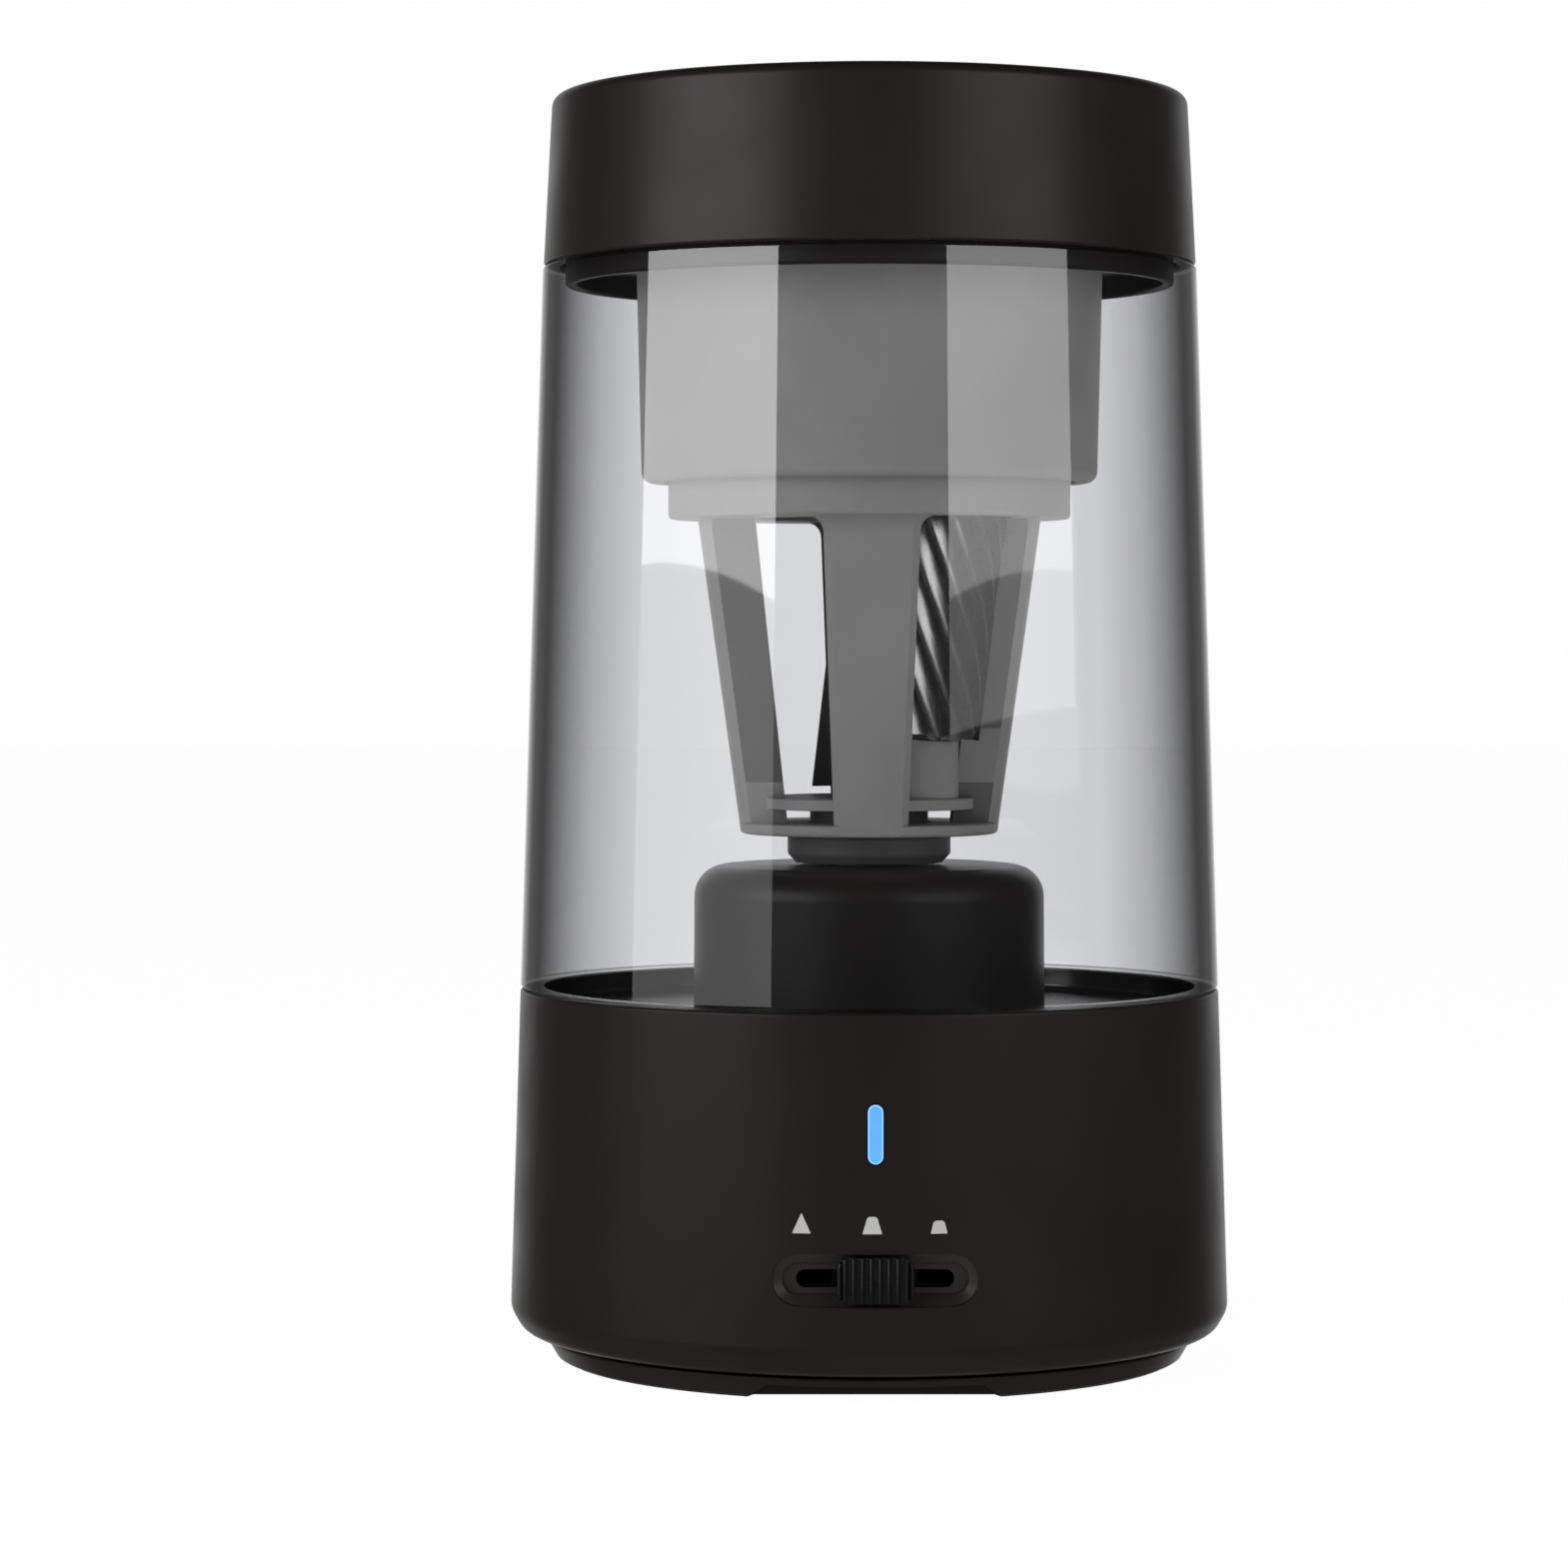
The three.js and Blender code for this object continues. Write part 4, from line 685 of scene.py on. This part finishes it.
def build_cover():
    bottom, top = COVER_LOW.z, COVER_HIGH.z
    cover = lathe("bottom_cover_fine", [
        (0, bottom),
        (34.9, bottom, 0.35),
        (36.2, top, 0.2),
        (0, top),
    ])
    wide, narrow = NOTCH["half_width"], NOTCH["half_width"] - NOTCH["slant"]
    notch = rounded([(-wide - 2, -1), (wide + 2, -1), (wide, 0), (narrow, NOTCH["height"], 0.6),
                     (-narrow, NOTCH["height"], 0.6), (-wide, 0)])
    cut(cover, upright("notch", notch, NOTCH["back"], -38))
    for name in COVER_SCREWS:
        centre = middle_mm(name)
        cut(cover, shift(lathe("sink", SINK, SMALL), centre.x, centre.y))
    play = 0.2
    inner, outer, groove_top = FOOT["inner"] - play, FOOT["outer"] + play, FOOT["top"] + play
    for angle in FEET:
        groove = lathe("groove", [(inner, -1), (outer, -1), (outer, groove_top), (inner, groove_top)])
        cut(cover, sector(groove, FOOT["half_degrees"] + 0.4, angle))
    dress(cover, BLACK, "base", "black_plastic", "bottom_cover")


build_cover()


def build_feet():
    inner, outer, top = FOOT["inner"], FOOT["outer"], FOOT["top"]
    for angle, name in FEET.items():
        ring = lathe(name + "_fine", [(inner, 0, 0.2), (outer, 0, 0.2), (outer, top), (inner, top)])
        dress(sector(ring, FOOT["half_degrees"], angle), RUBBER, "base", "rubber", name)


build_feet()


# ------------------------------------------------------------------ light pipe
def build_light():
    outline = upright_stadium(LIGHT["length"], LIGHT["width"])
    inner = upright_stadium(LIGHT["length"], LIGHT["width"], grow=-0.14)
    face = -base_radius(LIGHT_Z)
    sections = [
        [(x, LIGHT["back"], z + LIGHT_Z) for x, z in outline],
        [(x, face + 0.3, z + LIGHT_Z) for x, z in outline],
        [(x, face + 0.1, z + LIGHT_Z) for x, z in outline],
        [(0.97 * x, face - 0.03, 0.99 * z + LIGHT_Z) for x, z in outline],
        [(x, face - 0.05, z + LIGHT_Z) for x, z in inner],
    ]
    pipe = loft("light_pipe_fine", sections)
    flange = upright_stadium(LIGHT["flange_length"], LIGHT["flange_width"])
    flange_back = LIGHT["back"] - 3.4
    join(pipe, shift(upright("flange", flange, flange_back, flange_back - 1), z=LIGHT_Z))
    for material in (GLOW, GLOW_RIM, PIPE):
        pipe.data.materials.append(material)
    # The flat front glows, its small edge glows paler, and the rest is unlit.
    for polygon in pipe.data.polygons:
        behind_face = polygon.center.y / MM - face
        if behind_face < -0.045:
            polygon.material_index = 0
        elif behind_face < 0.2:
            polygon.material_index = 1
        else:
            polygon.material_index = 2
    dress(pipe, GLOW, "base", "light", "light_pipe")


build_light()


# ------------------------------------------------------------------ slider knob
RIB_COUNT = 8
RIB_PITCH = 0.92


def build_knob():
    front, back = KNOB_LOW.y, POCKET["floor"] - GAP
    half_width, half_height = KNOB_HIGH.x, KNOB_HIGH.z - SLIDER_Z
    corner = 1.2
    # Each layer is (distance behind the front, inset at the sides, inset above and below, corner radius).
    layers = [
        (back - front, 1.0, half_height - 1.2, 0.3),
        (1.0, 0.0, 0.42, corner - 0.4),
        (0.55, 0.0, 0.0, corner),
        (0.25, 0.0, 0.0, corner),
        (0.12, 0.03, 0.03, corner),
        (0.04, 0.12, 0.12, corner - 0.1),
        (0.0, 0.25, 0.25, corner - 0.2),
    ]
    sections = []
    for depth, narrow, low, radius in layers:
        outline = rounded_box(half_width - narrow, half_height - low, radius, 8)
        sections.append([(x, front + depth, z) for x, z in outline])
    knob = loft("slide_knob_fine", sections)
    # The grip: grooves between the upright ribs.
    groove_depth, samples = 0.42, 8
    wave = []
    for i in range(RIB_COUNT * samples + 1):
        x = (i / samples - RIB_COUNT / 2) * RIB_PITCH
        deep = 0.5 + 0.5 * math.cos(2 * math.pi * i / samples)
        wave.append((x, front + groove_depth * deep ** 0.7 - 0.01))
    ends = RIB_COUNT / 2 * RIB_PITCH
    comb = flat("comb", [(-ends, front - 1), *wave, (ends, front - 1)], -5, 5)
    cut(knob, comb)
    across, up = STEM["half_width"], STEM["half_height"]
    join(knob, block("stem", (-across, back - 0.5, -up), (across, -33.4, up)))
    dress(shift(knob, z=SLIDER_Z), GRIP_BLACK, "slider", "black_plastic", "slide_knob", angle=50)


build_knob()


# ------------------------------------------------------------------ charging port
def build_port():
    length, height, depth = PORT["length"], PORT["height"], PORT["depth"]
    shell = upright("charging_port_fine", stadium(length, height), 0, depth)
    cut(shell, upright("mouth", stadium(length, height, -PORT["wall"]), 1, depth + 1))
    shift(shell, y=PORT_LOW.y, z=PORT_Z)
    across, up = 3.3, 0.35
    tongue_low = (-across, PORT_LOW.y + 0.5, PORT_Z - up)
    tongue_high = (across, PORT_LOW.y + 6, PORT_Z + up)
    join(shell, block("tongue", tongue_low, tongue_high))
    dress(shell, STEEL, "base", "steel", "charging_port")


build_port()


# ------------------------------------------------------------------ bin
def build_bin():
    shoulder = SEAM + GAP
    spigot_inner, spigot_outer = 34.6, RIM_INNER - GAP
    bin_shell = lathe("bin_shell_fine", [
        (spigot_inner, BIN_LOW.z, 0.4),
        (spigot_outer, BIN_LOW.z, 0.4),
        (spigot_outer, shoulder),
        (SEAM_RADIUS, shoulder, 0.3),
        (BIN_TOP_RADIUS, BIN_TOP, 0.3),
        (BIN_TOP_RADIUS - WALL, BIN_TOP, 0.3),
        (36.7, 44.5, 3),
        (spigot_inner, shoulder, 1),
    ])
    bin_shell.data.materials.append(CLEAR)
    bin_shell.data.materials.append(CLEAR_INSIDE)
    for polygon in bin_shell.data.polygons:
        outwards = Vector((polygon.center.x, polygon.center.y, 0))
        faces_in = polygon.normal.dot(outwards.normalized()) < -0.5
        polygon.material_index = 1 if faces_in else 0
    dress(bin_shell, CLEAR, "bin", "clear_plastic", "bin_shell")


build_bin()


# ------------------------------------------------------------------ cap
def build_cap():
    bottom = CAP_LOW.z
    top_radius = 35.2
    cap = lathe("cap_shell_fine", [
        (34.1, bottom, 0.2),
        (CAP_HIGH.x, bottom, 0.3),
        (top_radius, HEIGHT, 1.3),
        (31, HEIGHT, 1.5),
        (12, HEIGHT - 2.5, 0.3),
        (12, HEIGHT - 4.7),
        (29, HEIGHT - 2.4),
        (33.2, HEIGHT - 3),
    ], steps=8)
    dress(cap, BLACK, "cap", "black_plastic", "cap_shell")

    under = lathe("cap_underplate_fine", [
        (8.6, UNDER_LOW.z),
        (10.8, UNDER_LOW.z, 0.4),
        (10.8, bottom),
        (32.6, bottom),
        (32.6, 119, 0.4),
        (33.8, 119, 0.4),
        (33.8, UNDER_HIGH.z),
        (8.6, UNDER_HIGH.z),
    ])
    dress(under, BLACK, "cap", "black_plastic", "cap_underplate")

    inlet = lathe("pencil_inlet_fine", [
        (4.6, INLET_LOW.z),
        (6.4, INLET_LOW.z),
        (6.4, HEIGHT - 7),
        (11.7, HEIGHT - 4.6),
        (11.7, INLET_HIGH.z - 0.1, 0.5),
        (9.6, INLET_HIGH.z, 0.8),
        (8, HEIGHT - 2.6, 0.3),
        (8, HEIGHT - 4),
        (4.6, HEIGHT - 6),
    ], MEDIUM)
    dress(inlet, BLACK, "cap", "black_plastic", "pencil_inlet")

    grommet = lathe("inlet_grommet_fine", [
        (4.4, HEIGHT - 4.2, 0.2),
        (5, HEIGHT - 5.2),
        (7.7, HEIGHT - 3.7),
        (7.7, HEIGHT - 2.6, 0.3),
        (6.6, HEIGHT - 2.6, 0.5),
        (4.4, HEIGHT - 3.6, 0.25),
    ], MEDIUM)
    dress(grommet, RUBBER, "cap", "rubber", "inlet_grommet")


build_cap()


# ------------------------------------------------------------------ cutter housing
def build_housing():
    bottom, top = HOUSING_LOW.z, HOUSING_HIGH.z
    housing = lathe("cutter_housing_fine", [
        (22.9, bottom, 0.3),
        (25.35, bottom, 1.5),
        (25.9, top),
        (23.5, top),
        (23.5, 100.1),
        (22.9, 99.5),
    ], steps=8)
    boss_bottom, screw_circle, hole_radius = 113, 19.6, 1.25
    for angle in (90, 210, 330):
        boss = turn(block("boss", (18, -2.4, boss_bottom), (24, 2.4, top)), angle)
        join(housing, boss)
        hole = rod(hole_radius, boss_bottom - 1, top + 2)
        cut(housing, turn(shift(hole, x=screw_circle), angle))
    dress(housing, GREY, "cap", "grey_plastic", "cutter_housing")


build_housing()


# ------------------------------------------------------------------ carrier cage
CAGE = {
    "bottom_outer": 14.3, "top_outer": 19.1, "bottom_inner": 9.3, "top_inner": 13,
    "bottom_width": 8, "top_width": 10.6, "corner": 1.6, "edge": 0.75,
}
FLOOR = (61, 62.3)
RING_TOP = 59.5
BOSS = {"radius": 5.2, "top": 70.3, "middle": 67}
BOSS_SEAT = 69.5  # height of the face below the cutter, on the cutter's axis
PIN_HOLE = 1.3  # radius round the stop pin
AXLE_HOLE = 1.6  # radius round the cutter's axle in the boss
SHANK_RADIUS = 4


def arm_section(z):
    """Outline of the front arm at the height z: a round outer face with bevelled edges."""
    share = (z - CAGE_LOW.z) / (COLLAR_BOTTOM - CAGE_LOW.z)

    def between(bottom, top):
        return CAGE[bottom] + (CAGE[top] - CAGE[bottom]) * share

    outer = between("bottom_outer", "top_outer")
    inner = between("bottom_inner", "top_inner")
    half = between("bottom_width", "top_width") / 2
    # The window's upper corners are round, so the arm widens as it meets the collar.
    above = max(0.0, z - (COLLAR_BOTTOM - CAGE["corner"]))
    half += CAGE["corner"] - math.sqrt(max(0.0, CAGE["corner"] ** 2 - above ** 2))
    edge = CAGE["edge"]
    face = []
    steps = 6
    for step in range(steps + 1):
        x = (half - edge) * (2 * step / steps - 1)
        face.append((x, -math.sqrt(outer ** 2 - x ** 2)))
    side = -math.sqrt(outer ** 2 - half ** 2) + edge
    outline = [(half, side), (half, -inner + 0.3), (half - 0.3, -inner)]
    mirrored = [(-x, y) for x, y in reversed(outline)]
    return [(x, y, z) for x, y in [*face, *outline, *mirrored]]


def build_cage():
    low, top = CAGE_LOW.z, CAGE_HIGH.z
    heights = [low + 0.2, 64, 70, 76, 82, 88, COLLAR_BOTTOM - CAGE["corner"]]
    heights += [COLLAR_BOTTOM - CAGE["corner"] * (1 - math.sin(math.radians(15 * i))) for i in range(1, 6)]
    heights.append(COLLAR_BOTTOM + 0.3)
    cage = lathe("carrier_cage_fine", [
        (13, COLLAR_BOTTOM, 0.3),
        (COLLAR_RADIUS, COLLAR_BOTTOM, 0.5),
        (COLLAR_RADIUS, top, 0.3),
        (13, top, 0.3),
    ])
    for quarter in range(4):
        arm = loft("arm", [arm_section(min(z, COLLAR_BOTTOM + 0.3)) for z in heights])
        join(cage, turn(arm, 90 * quarter))
    join(
        cage,
        lathe("lower_ring", [(6.9, low), (14.3, low, 0.6), (14.5, RING_TOP, 0.3), (6.9, RING_TOP)], MEDIUM),
        lathe("floor", [(0, FLOOR[0]), (12.2, FLOOR[0], 0.2), (12.2, FLOOR[1], 0.3), (0, FLOOR[1])], MEDIUM),
        build_foot_web(),
        build_boss(),
    )
    seat, shoulder, end = along(BOSS_SEAT), along(96.2), along(108)
    round_cutter, round_shank = CUTTER_RADIUS + 0.4, SHANK_RADIUS + 0.5
    relief = lathe("relief", [
        (0, seat),
        (round_cutter, seat),
        (round_cutter, shoulder),
        (round_shank, shoulder),
        (round_shank, end),
        (0, end),
    ], MEDIUM)
    axle_hole = rod(AXLE_HOLE, along(64.4), along(72))
    pin_hole = rod(PIN_HOLE, 50, 75)
    cut(cage, move(relief, CUTTER_FRAME), move(axle_hole, CUTTER_FRAME), pin_hole)
    cage.data.materials.append(GREY)
    cage.data.materials.append(PAINTED_SHADE_GREY)
    # Faces inside the cage that don't look outwards get the darker grey: painted shade.
    for polygon in cage.data.polygons:
        polygon.material_index = 1 if inside_cage(polygon) else 0
    dress(cage, GREY, "carrier", "grey_plastic", "carrier_cage")


def inside_cage(polygon):
    """Whether a face between the lower ring and the collar looks anywhere but outwards. Such faces get
    painted shade.
    """
    x, y, z = polygon.center / MM
    outwards = Vector((x, y, 0)).normalized()
    return RING_TOP + 0.1 < z < COLLAR_BOTTOM - 0.1 and polygon.normal.dot(outwards) < 0.35


def build_foot_web():
    """Widens the back arm low down, inside the same conical shell as the arms."""
    outline = [(-6.3, 63.2), (6.3, 63.2), (4.7, 77), (-4.7, 77)]
    low, high = CAGE_LOW.z, COLLAR_BOTTOM
    shell = lathe("arm_shell", [
        (CAGE["bottom_inner"], low),
        (CAGE["bottom_outer"], low),
        (CAGE["top_outer"], high),
        (CAGE["top_inner"], high),
    ])
    return shared(upright("foot_web", outline, 25, 0), shell)


def build_boss():
    """The post under the cutter, which holds the lower end of its axle."""
    radius, bottom, top = BOSS["radius"], FLOOR[1] - 0.2, BOSS["top"]
    boss = lathe("boss", [(0, bottom), (radius, bottom), (radius, top, 0.5), (0, top)], MEDIUM)
    reach = (BOSS["middle"] - APEX) * math.tan(CUTTER_TILT)
    return shift(boss, reach * math.cos(CUTTER_AZIMUTH), reach * math.sin(CUTTER_AZIMUTH))


build_cage()


def build_socket():
    bottom = SOCKET_LOW.z
    radius, spigot_radius = 9.1, 6.6
    socket = lathe("drive_socket_fine", [
        (PIN_HOLE, bottom),
        (8.2, bottom, 0.2),
        (radius, bottom + 1.0, 0.5),
        (radius, CAGE_LOW.z - GAP, 0.2),
        (spigot_radius, CAGE_LOW.z - GAP),
        (spigot_radius, SOCKET_HIGH.z),
        (PIN_HOLE, SOCKET_HIGH.z),
    ], MEDIUM)
    low, high, dog_radius = bottom - 1, SPINDLE_TOP + GAP, 4.4
    mouth = lathe("mouth", [(0, low), (dog_radius, low), (dog_radius, high), (0, high)], 6)
    dress(cut(socket, mouth), DARK, "carrier", "dark_plastic", "drive_socket")


build_socket()

# ------------------------------------------------------------------ helical cutter
FLUTES = 14
HELIX = math.radians(30)
FLUTE_DEPTH = 1.15
LAND = 0.12  # share of a tooth's pitch that keeps the full radius
HEEL = 0.82  # share of a tooth's back after which it turns up to the next cutting face
AXLE_BORE = 1.62
CUTTER_BOTTOM = along(69.8)
CUTTER_TOP = along(95.5)
PINION_BOTTOM = along(101.8)


def flute_outline(radius, spin):
    """One section of the cutter: each tooth has a steep cutting face and a long curved back."""
    points = []
    samples = 10
    for flute in range(FLUTES):
        for i in range(samples):
            share = i / samples
            back = max(0.0, (share - LAND) / (1 - LAND))
            drop = FLUTE_DEPTH * math.sin(math.pi / 2 * back) ** 1.3
            if back >= HEEL:
                drop = FLUTE_DEPTH * (1 - (back - HEEL) / (1 - HEEL))
            angle = spin + 2 * math.pi * (flute + share) / FLUTES
            points.append(((radius - drop) * math.cos(angle), (radius - drop) * math.sin(angle)))
    return points


def build_cutter():
    turn_per_mm = -math.tan(HELIX) / CUTTER_RADIUS
    steps = 48
    chamfer = 0.5
    sections = []
    for step in range(steps + 1):
        s = CUTTER_BOTTOM + (CUTTER_TOP - CUTTER_BOTTOM) * step / steps
        inset = max(0.0, chamfer - (s - CUTTER_BOTTOM), chamfer - (CUTTER_TOP - s))
        outline = flute_outline(CUTTER_RADIUS - inset, turn_per_mm * (s - CUTTER_BOTTOM))
        sections.append([(x, y, s) for x, y in outline])
    cutter = loft("helical_cutter_fine", sections)
    shank = rod(SHANK_RADIUS, CUTTER_TOP - 1, PINION_BOTTOM - 0.1)
    cut(join(cutter, shank), rod(AXLE_BORE, 20, 90))
    dress(move(cutter, CUTTER_FRAME), TOOL_STEEL, "cutter", "tool_steel", "helical_cutter", angle=28)


build_cutter()

# ------------------------------------------------------------------ the pieces that keep their CAD shape
CAD_FINISHES = {
    STEEL: [
        "cover_screw_1", "cover_screw_2", "cover_screw_3", "motor_can", "motor_shaft", "idler_pin",
        "motor_screw_1", "motor_screw_2", "detent_spring", "stop_pin", "pin_spring", "housing_screw_1",
        "housing_screw_2", "housing_screw_3", "carrier_screw_1", "carrier_screw_2", "retaining_ring",
        "cutter_axle",
    ],
    NATURAL: ["motor_end_cap", "idler_gear", "drive_spindle"],
    DARK: ["gearbox_plate", "start_switch", "slide_guide", "ring_gear", "carrier_head"],
    GRIP_BLACK: ["slide_carriage"],
    BRONZE: ["motor_armature", "spindle_bush_lower", "spindle_bush_upper", "head_bush"],
    BRASS: ["motor_pinion", "cutter_pinion"],
    FOIL: ["battery"],
    BOARD: ["main_board", "charging_board"],
}
for material, names in CAD_FINISHES.items():
    for name in names:
        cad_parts[name].material_slots[0].material = material


# ------------------------------------------------------------------ camera, floor and light
CAMERA = Vector((-9.5, -530, 79.8)) * MM
LENS = 109
PITCH = math.radians(1.742)  # downwards


def build_camera():
    data = bpy.data.cameras.new("camera")
    data.sensor_width = 36
    data.lens = LENS
    camera = bpy.data.objects.new("camera", data)
    camera.location = CAMERA
    camera.rotation_euler = (math.pi / 2 - PITCH, 0, 0)
    bpy.context.scene.collection.objects.link(camera)
    bpy.context.scene.camera = camera


def build_floor():
    reach = 3000
    corners = [(-reach, -reach, 0), (reach, -reach, 0), (reach, reach, 0), (-reach, reach, 0)]
    floor = new_object("floor", corners, [(0, 1, 2, 3)])
    n = Nodes("pale_floor")
    shader = n.principled(Roughness=0.9, Specular_IOR_Level=0.0, Emission_Strength=0.975)
    shader.inputs["Base Color"].default_value = (0.1, 0.1, 0.1, 1)
    shader.inputs["Emission Color"].default_value = (1, 1, 1, 1)
    n.link(shader.outputs[0], n.output.inputs["Surface"])
    floor.data.materials.append(n.material)
    floor.visible_glossy = False


def build_world():
    """A white studio behind the object, dim everywhere else. The camera itself sees plain white."""
    world = bpy.data.worlds.new("studio")
    world.use_nodes = True
    bpy.context.scene.world = world
    tree = world.node_tree
    tree.nodes.clear()
    output = tree.nodes.new("ShaderNodeOutputWorld")
    seen = tree.nodes.new("ShaderNodeBackground")
    seen.inputs["Color"].default_value = (0.99, 0.99, 0.99, 1)
    light = tree.nodes.new("ShaderNodeBackground")
    place = tree.nodes.new("ShaderNodeTexCoord")
    split = tree.nodes.new("ShaderNodeSeparateXYZ")
    level = tree.nodes.new("ShaderNodeMapRange")
    level.interpolation_type = "SMOOTHSTEP"
    for key, value in (("From Min", 0.72), ("From Max", 1.02), ("To Min", 0.05), ("To Max", 1.5)):
        level.inputs[key].default_value = value
    path = tree.nodes.new("ShaderNodeLightPath")
    mix = tree.nodes.new("ShaderNodeMixShader")
    tree.links.new(place.outputs["Generated"], split.inputs[0])
    tree.links.new(split.outputs["Y"], level.inputs["Value"])
    tree.links.new(level.outputs["Result"], light.inputs["Strength"])
    tree.links.new(path.outputs["Is Camera Ray"], mix.inputs["Fac"])
    tree.links.new(light.outputs[0], mix.inputs[1])
    tree.links.new(seen.outputs[0], mix.inputs[2])
    tree.links.new(mix.outputs[0], output.inputs["Surface"])


PANEL_DISTANCE = 600
PANEL_SPLIT = 128  # height where each softbox gets brighter


def panel(name, azimuth, width, low, high, radiance):
    """An upright softbox between two heights. Azimuth 0 is in front of the object and 90 to its right."""
    data = bpy.data.lights.new(name, "AREA")
    data.shape = "RECTANGLE"
    data.size = width * MM
    data.size_y = (high - low) * MM
    data.energy = radiance * math.pi * data.size * data.size_y
    lamp = bpy.data.objects.new(name, data)
    angle = math.radians(azimuth)
    middle = (low + high) / 2
    x, y = PANEL_DISTANCE * math.sin(angle), -PANEL_DISTANCE * math.cos(angle)
    lamp.location = Vector((x, y, middle)) * MM
    lamp.rotation_euler = (math.pi / 2, 0, angle)
    lamp.visible_camera = False
    bpy.context.scene.collection.objects.link(lamp)


build_camera()
build_floor()
build_world()
panel("left_lower", -56.6, 560, 5, PANEL_SPLIT, 0.65)
panel("left_upper", -56.6, 560, PANEL_SPLIT, 420, 2.8)
panel("right_lower", 47, 490, 96, PANEL_SPLIT, 0.7)
panel("right_upper", 47, 490, PANEL_SPLIT, 420, 1.7)

bpy.context.scene.view_settings.view_transform = "Standard"
